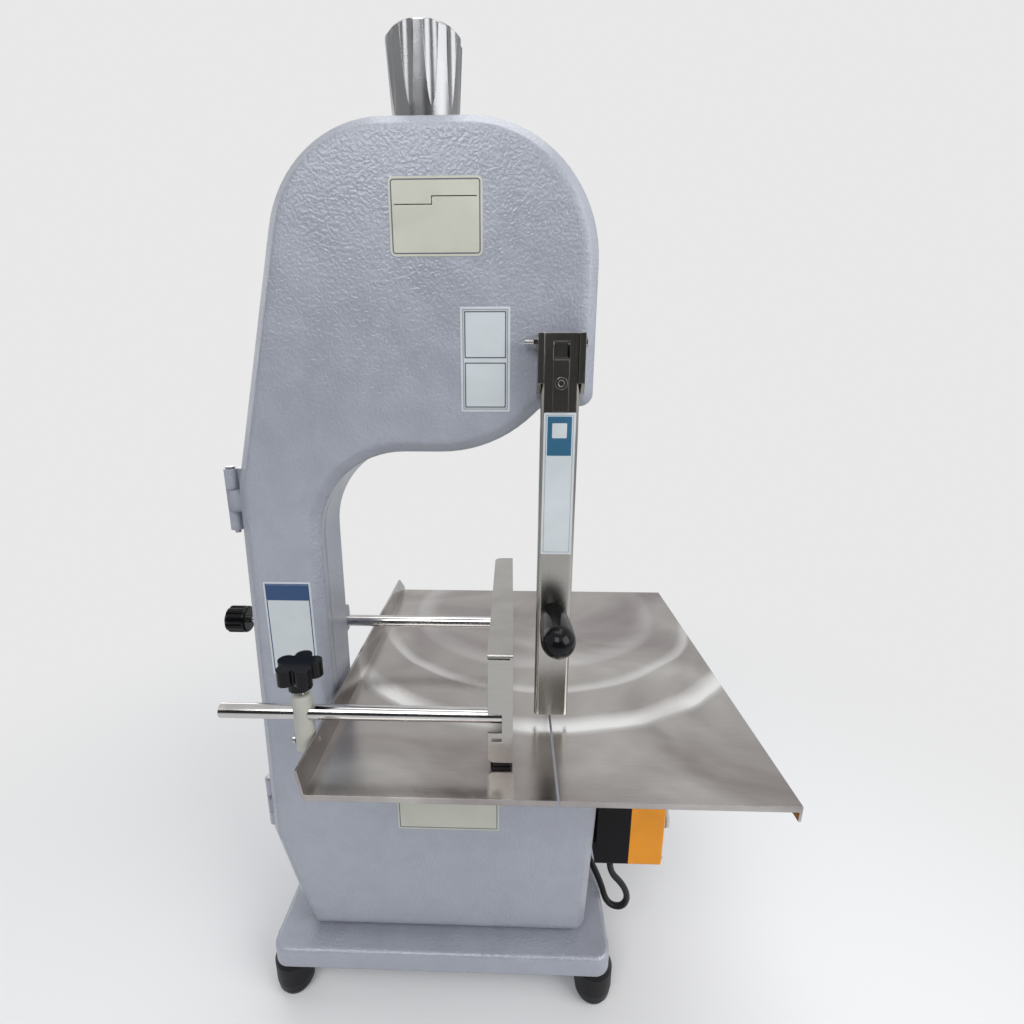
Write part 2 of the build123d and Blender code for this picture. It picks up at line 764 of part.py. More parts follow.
def table_brackets():
    """Two arms from the casting's back that carry the table's rear half."""
    arms = []
    y = (body_back, body_back + bracket_length)
    for x in bracket_x:
        side = make_face(Polyline([(y[0], table_under - 91), (y[0] + 10, table_under - 91),
                                   (y[1], table_under - 26), (y[1], table_under),
                                   (y[0], table_under)], close=True))
        arm = Pos(x - 3, 0, 0) * extrude(Plane.YZ * side, 6)
        arm += block((x - 15, x + 15), y, (table_under - 5, table_under))
        arm += block((x - 15, x + 15), (y[0], y[0] + 5), (table_under - 79, table_under))
        for side in (-1, 1):
            arm -= rod("Y", x + side * bracket_bolt_offset, bracket_bolt_height, bracket_bolt_radius,
                       (y[0] - 1, y[0] + 6))
        for place in table_bolt_y:
            arm -= rod("Z", x + 9, place, table_bolt_radius + 0.2, (table_under - 6, table_under + 1))
        arms.append(arm)
    return solids(*arms)


table_bolt_y = (body_back + 30.0, body_back + bracket_length - 25.0)


def bracket_bolts():
    """The bolts, with nuts inside the casting, that hold the two arms."""
    bolts = []
    for x in bracket_x:
        for side in (-1, 1):
            place = x + side * bracket_bolt_offset
            bolt = hex_bolt("Y", place, bracket_bolt_height, bracket_bolt_radius,
                            back_inner - 4.5, body_back + 5, 4)
            nut = hexagon("Y", place, bracket_bolt_height, bracket_bolt_radius * 3.2,
                          (back_inner - 4, back_inner))
            bolts.append(bolt + nut)
    return solids(*bolts)


def table_rests():
    """Two blocks on the lower housing's roof under the table's middle."""
    rests = [block((x - 18, x + 18), (casting_front + 3, body_back - 2), (housing_top, table_under))
             for x in (-55.0, 135.0)]
    return solids(*rests)


def table_studs():
    """Studs welded under the table, each with its nut below the bracket."""
    studs = []
    for x in bracket_x:
        for y in table_bolt_y:
            stud = rod("Z", x + 9, y, table_bolt_radius, (table_under - 16, table_under))
            nut = hexagon("Z", x + 9, y, 10, (table_under - 10, table_under - 5))
            studs.append(stud + nut)
    return solids(*studs)


# ---- fence on its two rods ----
fence_x = (fence_right - fence_flange, fence_right)
fence_y = (fence_front, fence_front + fence_length)
fence_z = (floor_to_table + 4.5, floor_to_table + fence_height)
fence_screw_radius = 3.0
fence_screw_tip = fence_x[1] - fence_sheet - 8
front_rod_left = -163.4
rear_rod_left = -210.4
rear_stub_left = -219.0


def fence_plate():
    """The folded fence: a tall face with a flange along its top and one at its front."""
    t = fence_sheet
    face = block((fence_x[1] - t, fence_x[1]), fence_y, fence_z)
    roof = block(fence_x, fence_y, (fence_z[1] - t, fence_z[1]))
    roof -= rear_corner_cut()
    nose = block(fence_x, (fence_y[0], fence_y[0] + t), (fence_z[0], fence_z[1] - 4))
    nose = fillet(nose.edges().filter_by(Axis.Y).group_by(Axis.X)[0].sort_by(Axis.Z)[0:1], 5)
    plate = face + roof + nose
    plate -= block((fence_x[0] - 1, fence_x[1] - t - 6), (fence_y[0] - 1, fence_y[0] + t + 1),
                   (rod_height - 8.5, rod_height + 8.5))
    slot = block((fence_x[0] + 3, fence_x[1] - t - 6), (fence_y[0] - 1, fence_y[0] + t + 1),
                 (fence_z[0] + 19, fence_z[0] + 22))
    plate -= slot
    plate -= fence_screw_room(front_rod_y)
    plate -= fence_screw_room(rear_rod_y)
    top_front = plate.edges().filter_by(Axis.X).group_by(Axis.Z)[-1].sort_by(Axis.Y)[0:1]
    return fillet(top_front, 2)


def rear_corner_cut():
    """Rounds the free rear corner of the fence's top flange."""
    r = 8.0
    x, y = fence_x[0], fence_y[1]
    square = block((x - 1, x + r), (y - r, y + 1), (fence_z[1] - 5, fence_z[1] + 1))
    return square - rod("Z", x + r, y - r, r, (fence_z[1] - 6, fence_z[1] + 2))


def front_rod():
    """The front rod, turned down where its screw holds the fence."""
    end = fence_x[1] - fence_sheet
    bar = rod("X", front_rod_y, rod_height, rod_radius, (front_rod_left, end))
    return bar - fence_screw_room(front_rod_y)


def rear_rod():
    """The rear rod with the thinner stub that its knob screws on."""
    end = fence_x[1] - fence_sheet
    bar = rod("X", rear_rod_y, rod_height, rod_radius, (rear_rod_left, end))
    stub = rod("X", rear_rod_y, rod_height, 4, (rear_stub_left - 12, rear_rod_left))
    return bar + stub - fence_screw_room(rear_rod_y)


def rear_knob():
    """The small fluted knob on the rear rod's end."""
    y, z = rear_rod_y, rod_height
    knob = rod("X", y, z, 14.5, (rear_stub_left - 22, rear_stub_left))
    knob = fillet(knob.edges().filter_by(GeomType.CIRCLE), 2.5)
    for turn in range(8):
        angle = math.radians(45 * turn)
        knob -= rod("X", y + 16.2 * math.cos(angle), z + 16.2 * math.sin(angle), 4,
                    (rear_stub_left - 23, rear_stub_left - 3))
    return knob - rod("X", y, z, 4, (rear_stub_left - 12, rear_stub_left + 1))


def fence_screw_room(y):
    """What a fence screw takes out of the fence's face and its rod's end."""
    return rod("X", y, rod_height, fence_screw_radius, (fence_screw_tip, fence_x[1] + 1))


def fence_screws():
    """The two flush screws through the fence's face into its rods."""
    return solids(*[rod("X", y, rod_height, fence_screw_radius, (fence_screw_tip, fence_x[1]))
                    for y in (front_rod_y, rear_rod_y)])


def fence_glides():
    """Black plastic glides under the fence, clear of the table by a sheet of paper."""
    pads = []
    for y in (fence_y[0] + 8, fence_y[1] - 8):
        pad = block((fence_x[0] + 2, fence_x[1]), (y - 7, y + 7), (floor_to_table + clearance, fence_z[0]))
        pads.append(fillet(pad.edges().filter_by(Axis.Z), 3))
    return solids(*pads)


def rod_post():
    """The round nylon post on the table's left edge that the front rod slides through."""
    z = (post_low, floor_to_table + post_top_above)
    post = rod("Z", post_x, front_rod_y, post_radius, z)
    post = fillet(post.faces().sort_by(Axis.Z)[-1].edges(), 3)
    post -= rod("X", front_rod_y, rod_height, rod_radius + running_fit,
                (post_x - post_radius - 1, post_x + post_radius + 1))
    post -= post_screw_room()
    post -= rod("X", front_rod_y, post_screw_height, post_screw_head + clearance,
                (post_x - post_radius - 1, post_screw_seat))
    return post - rod("Z", post_x, front_rod_y, stud_radius + running_fit, (rod_height, z[1] + 1))


def post_screw_room():
    """What the post's screw takes out of the post and the table's edge."""
    return rod("X", front_rod_y, post_screw_height, post_screw_radius, (post_x - post_radius, table_left))


def post_screw():
    """The screw through the post's lower end into the table's edge."""
    return socket_screw("X", front_rod_y, post_screw_height, post_screw_radius,
                        table_left - sheet - 0.6, post_screw_seat, post_screw_head, 2.5)


stud_radius = 3.0
lever_base = floor_to_table + post_top_above + 6.0


def clamp_stud():
    """The steel screw from the star knob down to the rod."""
    return rod("Z", post_x, front_rod_y, stud_radius, (rod_height + rod_radius + clearance, lever_base + 10))


def star_knob():
    """The five-lobed knob that locks the fence."""
    lobes = (lever_base + 9, lever_base + 22)
    knob = rod("Z", post_x, front_rod_y, 12, lobes)
    for turn in range(5):
        angle = math.radians(90 + 72 * turn)
        x = post_x + 11.5 * math.cos(angle)
        y = front_rod_y + 11.5 * math.sin(angle)
        knob += rod("Z", x, y, 6.6, lobes)
    knob += rod("Z", post_x, front_rod_y, 9.5, (lever_base, lobes[0]))
    return knob - rod("Z", post_x, front_rod_y, stud_radius, (lever_base - 1, lever_base + 10))


def rear_rod_lug():
    """The lug on the casting's back that the rear rod slides through."""
    lug = block((-140, -112), (body_back, rear_rod_y + 15), (rod_height - 15, rod_height + 15))
    lug = fillet(lug.edges().filter_by(Axis.X).group_by(Axis.Y)[-1], 8)
    return lug - rod("X", rear_rod_y, rod_height, rod_radius + running_fit, (-141, -111))


# ---- blade guard on the door ----
guard_x = (blade_x - guard_width / 2, blade_x + guard_width / 2)
guard_low = floor_to_table + guard_table_gap
guard_high = head_under + guard_above_throat
holder_sheet = 2.5
holder_gap = 0.6
holder_z = (guard_high - 44.0, guard_high)
holder_bolt_y = body_front - 6.0
holder_bolt_z = guard_high - 6.0
holder_bolt_radius = 2.0
rack_half = 5.8
rack_y = (guard_front + guard_sheet, guard_front + guard_sheet + 2.3)
handle_height = guard_low + 96.0
strip_z = (guard_high - 57.2, guard_high - 19.0)
strip_screw_z = guard_high - 36.0
notch_pitch = 10.0


def blade_guard():
    """The channel that covers the blade's teeth, with a square window near its top."""
    y = (guard_front, guard_front + guard_depth)
    channel = block(guard_x, y, (guard_low, guard_high))
    channel = fillet(channel.faces().sort_by(Axis.Y)[0].edges().filter_by(Axis.Z), 3.5)
    inside = (guard_x[0] + guard_sheet, guard_x[1] - guard_sheet)
    channel -= block(inside, (y[0] + guard_sheet, y[1] + 1), (guard_low - 1, guard_high + 1))
    window = (strip_z[1], strip_z[1] + 13)
    channel -= block((blade_x - 6, blade_x + 6), (y[0] - 1, y[0] + guard_sheet + 1), window)
    channel -= rod("Y", blade_x, strip_screw_z, 2, (y[0] - 1, y[0] + guard_sheet + 1))
    return channel - rod("Y", blade_x, handle_height, 3, (y[0] - 1, y[0] + guard_sheet + 1))


def guard_rack():
    """The notched strip behind the guard that the spring clip rubs on."""
    rack = block((blade_x - rack_half, blade_x + rack_half), rack_y, (guard_low + 60, strip_z[1] + 1.5))
    for step in range(int((strip_z[1] - guard_low - 60) / notch_pitch)):
        z = guard_low + 68 + notch_pitch * step
        rack -= rod("X", rack_y[1] + 0.6, z, 1.6, (blade_x - 7, blade_x + 7))
    for z, radius in ((strip_screw_z, 2), (handle_height, 3)):
        rack -= rod("Y", blade_x, z, radius, (rack_y[0] - 1, rack_y[1] + 1))
    return rack


def guard_strip():
    """The flat strip on the guard's face under its window."""
    strip = block((blade_x - 6, blade_x + 6), (guard_front - 1, guard_front), strip_z)
    return strip - rod("Y", blade_x, strip_screw_z, 2, (guard_front - 2, guard_front + 1))


def guard_screw():
    """The socket screw through strip, guard and rack."""
    return socket_screw("Y", blade_x, strip_screw_z, 2, rack_y[1], guard_front - 1, 4.6, 2.6)


def guard_handle():
    """The black bulb handle that raises the guard, on its stud."""
    shape = [(0, 0), (8.5, 0), (10, 4), (12, 22), (13.4, 40), (13.2, 48), (11, 54.5), (6.5, 57.4), (0, 58)]
    bulb = turned([(r, -h) for r, h in shape], "Y", 0, 0)
    bulb = Pos(blade_x, guard_front, handle_height) * bulb
    return bulb - rod("Y", blade_x, handle_height, 3, (guard_front - 20, guard_front + 1))


def handle_stud():
    """The threaded stud of the handle, with its thin nut behind the guard."""
    return rod("Y", blade_x, handle_height, 3, (guard_front - 20, rack_y[1]))


def guard_holder():
    """The folded bracket on the door that the guard slides in."""
    t = holder_sheet
    left = guard_x[0] - holder_gap
    right = guard_x[1] + holder_gap
    lip_y = (guard_front - clearance - 1.3, guard_front - clearance)
    bracket = block((left - t, right + t), (body_front - t, body_front), holder_z)
    sides = (((left - t, left), (left - t, left + 2.2)),
             ((right, right + t), (right - 2.2, right + t)))
    for ear, lip in sides:
        bracket += block(ear, (lip_y[0], body_front), holder_z)
        bracket += block(lip, lip_y, (holder_z[0] + 8, holder_z[1]))
    heel = make_face(Polyline([(lip_y[0] - 1, holder_z[0] - 1), (lip_y[0] + 7, holder_z[0] - 1),
                               (lip_y[0] - 1, holder_z[0] + 9)], close=True))
    bracket -= Pos(left - t - 1, 0, 0) * extrude(Plane.YZ * heel, guard_width + 2 * t + 4)
    bracket -= rod("X", holder_bolt_y, holder_bolt_z, holder_bolt_radius, (left - t - 1, right + t + 1))
    for z in holder_screw_z:
        bracket -= rod("Y", blade_x, z, 2.1, (body_front - t - 1, body_front + 1))
    return bracket


holder_screw_z = (guard_high - 36.0, guard_high - 18.0)


def holder_bolt():
    """The cross bolt at the holder's top, with its nut and free thread on the left."""
    left = guard_x[0] - holder_gap - holder_sheet
    right = guard_x[1] + holder_gap + holder_sheet
    bolt = rod("X", holder_bolt_y, holder_bolt_z, holder_bolt_radius, (left - 9.5, right))
    bolt += hexagon("X", holder_bolt_y, holder_bolt_z, 6.6, (right, right + 2.6))
    return bolt + hexagon("X", holder_bolt_y, holder_bolt_z, 6.8, (left - 3.2, left))


def spring_clip():
    """The spring clip on the cross bolt that keeps the guard at its height."""
    x = (blade_x - 5, blade_x + 5)
    eye = rod("X", holder_bolt_y, holder_bolt_z, 3.2, x)
    tail = block(x, (holder_bolt_y - 3.2, holder_bolt_y - 1.7), (holder_bolt_z - 24, holder_bolt_z))
    tip = block(x, (rack_y[1] + clearance, holder_bolt_y - 1.7), (holder_bolt_z - 26, holder_bolt_z - 23.4))
    clip = eye + tail + tip
    return clip - rod("X", holder_bolt_y, holder_bolt_z, holder_bolt_radius, (x[0] - 1, x[1] + 1))


def holder_screws():
    """Two flat screws through the holder into the door's face."""
    seat = body_front - holder_sheet
    return solids(*[rod("Y", blade_x, z, 2.1, (seat, door_inner)) for z in holder_screw_z])


# ---- plates on the door and guard: blank, without lettering ----
plate_thickness = 0.4


def face_plate(x, z, radius, y=None):
    """A thin plate with rounded corners on the door's face."""
    seat = body_front if y is None else y
    plate = block(x, (seat - plate_thickness, seat), z)
    return fillet(plate.edges().filter_by(Axis.Y), radius)


def guard_plate():
    """The long narrow plate on the guard."""
    return Pos(blade_x, guard_front, guard_high - 114) * face_plate((-12.2, 12.2), (-56.5, 56.5), 0.8, 0)


def door_plates():
    """The four blank plates on the door's face."""
    title = face_plate((-21.6, 46.7), (upper_axle_height + 26.2, upper_axle_height + 78.9), 4)
    double = face_plate((29.0, 67.2), (upper_axle_height - 86.7, upper_axle_height - 8.7), 1)
    column_x = (throat_left - 53, throat_left - 11)
    column = face_plate(column_x, (floor_to_table + 34.7, floor_to_table + 125.7), 1)
    lower = face_plate((-40.5, 59.5), (lower_axle_height - 1.8, lower_axle_height + 43.2), 1)
    return solids(title, double, column, lower)


# ---- switch box and its lead ----
box_y = (-9.0, 51.0)
box_z = (base_top + 71.0, base_top + 175.0)
box_left = housing_right + 0.6
box_back_depth = 34.4
box_cover_depth = 35.0
box_seam = box_left + box_back_depth
box_right = box_seam + box_cover_depth
button_y = 21.0
button_heights = (box_z[0] + 35.0, box_z[0] + 70.0)
button_radius = 11.0
bezel_radius = 14.5
bezel_proud = 4.0
button_proud = 12.0
button_travel = 4.0
lead_radius = 3.5
gland_length = 15.0
box_gland_y = 12.0
box_gland_x = box_seam - 14.0
terminal_gland_x = 34.0 + gland_length
terminal_gland_y = body_back + 75.0
terminal_gland_z = lower_axle_height + motor_radius + 21.0
mains_gland_x = box_seam - 17.0
mains_gland_z = box_z[0] + 42.0


def switch_box_back():
    """The black back half of the switch box, on the lower housing's side."""
    box = block((box_left, box_seam), box_y, box_z)
    box = fillet(box.edges().filter_by(Axis.X), 4)
    box -= block((box_left + 3, box_seam + 1), (box_y[0] + 3, box_y[1] - 3), (box_z[0] + 3, box_z[1] - 3))
    box += block((housing_right - 5.5, box_left + 1), (0, 20), (box_z[0] + 20, box_z[1] - 14))
    box -= slab(outline(base_top), (casting_front, body_back))
    box -= rod("Y", mains_gland_x, mains_gland_z, 7.0, (box_y[1] - 4, box_y[1] + 1))
    return box - rod("Z", box_gland_x, box_gland_y, 6.0, (box_z[0] - 1, box_z[0] + 4))


def switch_box_cover():
    """The amber cover that carries the two buttons."""
    cover = block((box_seam, box_right), box_y, box_z)
    cover = fillet(cover.edges().filter_by(Axis.X), 4)
    cover = fillet(cover.faces().sort_by(Axis.X)[-1].edges(), 2)
    cover -= block((box_seam - 1, box_right - 3), (box_y[0] + 3, box_y[1] - 3), (box_z[0] + 3, box_z[1] - 3))
    for z in button_heights:
        cover -= rod("X", button_y, z, bezel_radius - 3.2, (box_right - 4, box_right + 1))
    for y in (box_y[0] + 7, box_y[1] - 7):
        for z in (box_z[0] + 7, box_z[1] - 7):
            cover -= rod("X", y, z, 1.9, (box_right - 6, box_right + 1))
    return cover


def box_screws():
    """Four screws in the cover's corners."""
    screws = []
    for y in (box_y[0] + 7, box_y[1] - 7):
        for z in (box_z[0] + 7, box_z[1] - 7):
            screws.append(socket_screw("X", y, z, 1.9, box_right - 5, box_right, 3.4, 1.6))
    return solids(*screws)


def button_bezels():
    """The threaded collars that the buttons slide in, each with its nut inside."""
    collars = []
    for z in button_heights:
        collar = rod("X", button_y, z, bezel_radius, (box_right, box_right + bezel_proud))
        collar += rod("X", button_y, z, bezel_radius - 3.2, (box_right - 12, box_right + 1))
        collar += rod("X", button_y, z, bezel_radius, (box_right - 8, box_right - 3))
        collars.append(collar - rod("X", button_y, z, button_radius - 1.6, (box_right - 13, box_right + 5)))
    return solids(*collars)


def push_button(z):
    """A push button: its cap stands proud of the collar and its stem runs inside."""
    face = box_right + button_proud
    low = box_right + bezel_proud + button_travel + clearance
    cap = rod("X", button_y, z, button_radius, (low, face))
    cap = fillet(cap.faces().sort_by(Axis.X)[-1].edges(), 1.5)
    return cap + rod("X", button_y, z, button_radius - 1.6 - running_fit, (box_right - 6, low))


def contact_blocks():
    """The two switch blocks inside the box, on the collars' nuts."""
    blocks = []
    for z in button_heights:
        body = block((box_right - 30, box_right - 12), (button_y - 15, button_y + 15), (z - 12, z + 12))
        blocks.append(body - rod("X", button_y, z, button_radius - 1.2, (box_right - 20, box_right - 11)))
    return solids(*blocks)


def box_gland():
    """The gland in the box's floor that the lead leaves through."""
    low = box_z[0] - gland_length
    nut = hexagon("Z", box_gland_x, box_gland_y, 15, (box_z[0] - 7, box_z[0]))
    dome = rod("Z", box_gland_x, box_gland_y, 6.4, (low, box_z[0] - 6))
    neck = rod("Z", box_gland_x, box_gland_y, 6.0, (box_z[0] - 1, box_z[0] + 5))
    return nut + dome + neck


def terminal_gland():
    """The gland on the terminal box's side that the lead goes into."""
    y, z = terminal_gland_y, terminal_gland_z
    nut = hexagon("X", y, z, 15, (34, 41))
    dome = rod("X", y, z, 6.4, (40, terminal_gland_x))
    return nut + dome + rod("X", y, z, 6.0, (29, 35))


def mains_gland():
    """The gland for the mains lead, on the back of the switch box."""
    x, z = mains_gland_x, mains_gland_z
    nut = hexagon("Y", x, z, 18, (box_y[1], box_y[1] + 8))
    dome = rod("Y", x, z, 7.5, (box_y[1] + 7, box_y[1] + 18))
    gland = nut + dome + rod("Y", x, z, 7.0, (box_y[1] - 5, box_y[1] + 1))
    return gland - rod("Y", x, z, 4.2, (box_y[1] - 6, box_y[1] + 19))


lead_top = box_z[0] - gland_length
lead_points = [
    (box_gland_x, box_gland_y, lead_top),
    (box_gland_x, box_gland_y, lead_top - 17),
    (box_gland_x + 16, box_gland_y - 4, lead_top - 31),
    (box_gland_x + 22, box_gland_y - 5, lead_top - 49),
    (box_gland_x + 15, box_gland_y - 3, lead_top - 65),
    (box_gland_x, box_gland_y + 3, lead_top - 66),
    (box_gland_x - 5.5, box_gland_y + 13, lead_top - 48),
    (box_gland_x - 20, box_gland_y + 28, lead_top - 24),
    (box_gland_x - 42, box_gland_y + 50, lead_top + 12),
    (box_gland_x - 64, box_gland_y + 70, lead_top + 58),
    (terminal_gland_x + 49, terminal_gland_y - 5, terminal_gland_z - 62),
    (terminal_gland_x + 26, terminal_gland_y - 1, terminal_gland_z - 26),
    (terminal_gland_x + 14, terminal_gland_y, terminal_gland_z),
    (terminal_gland_x, terminal_gland_y, terminal_gland_z),
]


def corner_radii(points):
    """The largest arcs that each corner's two runs leave room for."""
    radii = []
    for before, here, after in zip(points, points[1:], points[2:]):
        first = Vector(*here) - Vector(*before)
        second = Vector(*after) - Vector(*here)
        half_turn = math.radians(first.get_angle(second)) / 2
        radii.append(0.45 * min(first.length, second.length) / math.tan(half_turn))
    return radii


def switch_lead():
    """The black lead from the switch box round to the motor's terminal box."""
    radii = corner_radii(lead_points)
    path = FilletPolyline(lead_points, radius=radii)
    start = Plane(origin=path @ 0, z_dir=path % 0)
    lead = sweep(start * Circle(lead_radius), path=path.wire())
    section = math.pi * lead_radius ** 2
    print("lead radii", [round(r, 1) for r in radii])
    print("lead length", round(path.wire().length, 1), "volume ratio",
          round(lead.volume / (section * path.wire().length), 4))
    return lead


# ---- every node of the assembly ----
def frame_nodes():
    """What stands still: base, casting, motor, table and switch box."""
    return {
        "base_plate": base_plate(),
        "rubber_feet": rubber_feet(),
        "base_fasteners": solids(foot_studs(), casting_bolts()),
        "body_casting": body_casting(),
        "hinge_pins": hinge_pins(),
        "saw_blade": band_loop(),
        "blade_guides": solids(blade_guide(*upper_guide), blade_guide(*lower_guide)),
        "guide_rollers": solids(guide_roller(*upper_guide), guide_roller(*lower_guide), roller_pins()),
        "lower_scraper": lower_scraper(),
        "carriage_rails": guide_rails(),
        "carriage_cover": carriage_cover(),
        "cover_screws": solids(cover_screws(), box_screws()),
        "tension_bush": tension_bush(),
        "motor_shields": solids(*motor_shields()),
        "motor_bearings": motor_bearings(),
        "motor_housing": motor_housing(),
        "motor_stator": motor_stator(),
        "back_wall_bolts": solids(motor_bolts(), bracket_bolts()),
        "fan_cover": fan_cover(),
        "terminal_box": terminal_box(),
        "worktable": table(),
        "table_supports": solids(table_brackets(), table_rests()),
        "table_studs": solids(table_studs(), post_screw()),
        "rod_post": rod_post(),
        "rear_rod_lug": rear_rod_lug(),
        "switch_box_back": switch_box_back(),
        "switch_box_cover": switch_box_cover(),
        "button_collars": button_bezels(),
        "contact_blocks": contact_blocks(),
        "cable_glands": solids(box_gland(), terminal_gland(), mains_gland()),
        "switch_lead": switch_lead(),
    }


def moving_nodes():
    """What turns or slides: wheels, tension gear, door, guard, fence, knobs and buttons."""
    upper_end = axle_end_bolt(upper_axle_height, hub_front)
    lower_end = axle_end_bolt(lower_axle_height, hub_front)
    return {
        "start_button": push_button(button_heights[0]),
        "stop_button": push_button(button_heights[1]),
        "upper_wheel": wheel(upper_axle_height, bearing_radius + press_room),
        "upper_wheel_bearings": upper_bearings(),
        "upper_axle": upper_axle() + upper_end,
        "tension_carriage": carriage(),
        "upper_scraper": upper_scraper(),
        "tension_screw": tension_screw(),
        "tension_knob": tension_knob(),
        "lower_wheel": wheel(lower_axle_height, motor_shaft_radius),
        "motor_shaft": motor_shaft() + lower_end,
        "motor_rotor": motor_rotor(),
        "cooling_fan": cooling_fan(),
        "door": door(),
        "latch_screw": latch_screw(),
        "guard_holder": guard_holder(),
        "holder_fasteners": solids(holder_bolt(), holder_screws()),
        "spring_clip": spring_clip(),
        "door_plates": door_plates(),
        "blade_guard": blade_guard(),
        "guard_strips": solids(guard_rack(), guard_strip()),
        "guard_fasteners": solids(guard_screw(), handle_stud()),
        "guard_handle": guard_handle(),
        "guard_plate": guard_plate(),
        "fence_plate": fence_plate(),
        "fence_rods": solids(front_rod(), rear_rod(), fence_screws()),
        "rear_knob": rear_knob(),
        "fence_glides": fence_glides(),
        "star_knob": solids(star_knob(), clamp_stud()),
    }


def export_nodes():
    """Moves every node to the middle of the footprint and writes it."""
    left = rear_stub_left - 22
    middle_x = (left + table_right) / 2
    rear = max(table_front + table_depth, base_front + base_depth)
    middle_y = (table_front + rear) / 2
    print("origin shift", middle_x, middle_y, "wheel distance", round(wheel_distance, 2))
    os.makedirs("parts", exist_ok=True)
    nodes = {**frame_nodes(), **moving_nodes()}
    print(len(nodes), "nodes")
    for name, shape in nodes.items():
        export_step(Pos(-middle_x, -middle_y, 0) * shape, f"parts/{name}.step")


export_nodes()
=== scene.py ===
"""Dresses the tabletop bone saw: studio, finishes and the pieces that the plain solids leave out."""

import logging
import math
from dataclasses import dataclass, field
from enum import Enum

import bmesh
import bpy
from mathutils import Matrix, Vector


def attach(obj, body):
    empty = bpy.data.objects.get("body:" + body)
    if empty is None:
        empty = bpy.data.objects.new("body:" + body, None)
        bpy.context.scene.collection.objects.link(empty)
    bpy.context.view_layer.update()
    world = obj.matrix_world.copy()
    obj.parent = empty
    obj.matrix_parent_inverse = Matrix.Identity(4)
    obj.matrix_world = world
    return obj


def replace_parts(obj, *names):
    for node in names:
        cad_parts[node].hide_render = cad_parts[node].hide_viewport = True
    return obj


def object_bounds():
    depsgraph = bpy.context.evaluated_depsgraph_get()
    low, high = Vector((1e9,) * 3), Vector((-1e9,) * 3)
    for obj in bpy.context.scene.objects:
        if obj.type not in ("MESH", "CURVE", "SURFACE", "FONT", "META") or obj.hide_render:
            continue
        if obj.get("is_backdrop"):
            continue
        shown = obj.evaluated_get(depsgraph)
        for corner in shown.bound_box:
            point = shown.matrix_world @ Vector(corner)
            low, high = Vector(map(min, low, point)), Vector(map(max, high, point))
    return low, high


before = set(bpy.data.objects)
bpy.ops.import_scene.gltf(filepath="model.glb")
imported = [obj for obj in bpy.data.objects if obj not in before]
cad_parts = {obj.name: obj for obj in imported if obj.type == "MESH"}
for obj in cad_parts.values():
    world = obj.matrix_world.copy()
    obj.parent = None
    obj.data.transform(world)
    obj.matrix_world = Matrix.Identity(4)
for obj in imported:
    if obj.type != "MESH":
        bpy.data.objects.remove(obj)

log = logging.getLogger("bone_saw")

Colour = tuple[float, float, float]
Point = tuple[float, float, float]
Material = bpy.types.Material
Piece = bpy.types.Object
Socket = bpy.types.NodeSocket
Outline = list[tuple[float, float]]

EVEN: Point = (1.0, 1.0, 1.0)


class Kind(Enum):
    """Shader node types, under the short names that the finishes use."""

    NOISE = "ShaderNodeTexNoise"
    VORONOI = "ShaderNodeTexVoronoi"
    RAMP = "ShaderNodeValToRGB"
    MAPPING = "ShaderNodeMapping"
    COORDS = "ShaderNodeTexCoord"
    BUMP = "ShaderNodeBump"
    BEVEL = "ShaderNodeBevel"
    MIX = "ShaderNodeMix"
    MATH = "ShaderNodeMath"
    SHADER = "ShaderNodeBsdfPrincipled"
    OUTPUT = "ShaderNodeOutputMaterial"


class Axis(Enum):
    """The directions that the threads run along, as unit vectors."""

    X = (1.0, 0.0, 0.0)
    Z = (0.0, 0.0, 1.0)


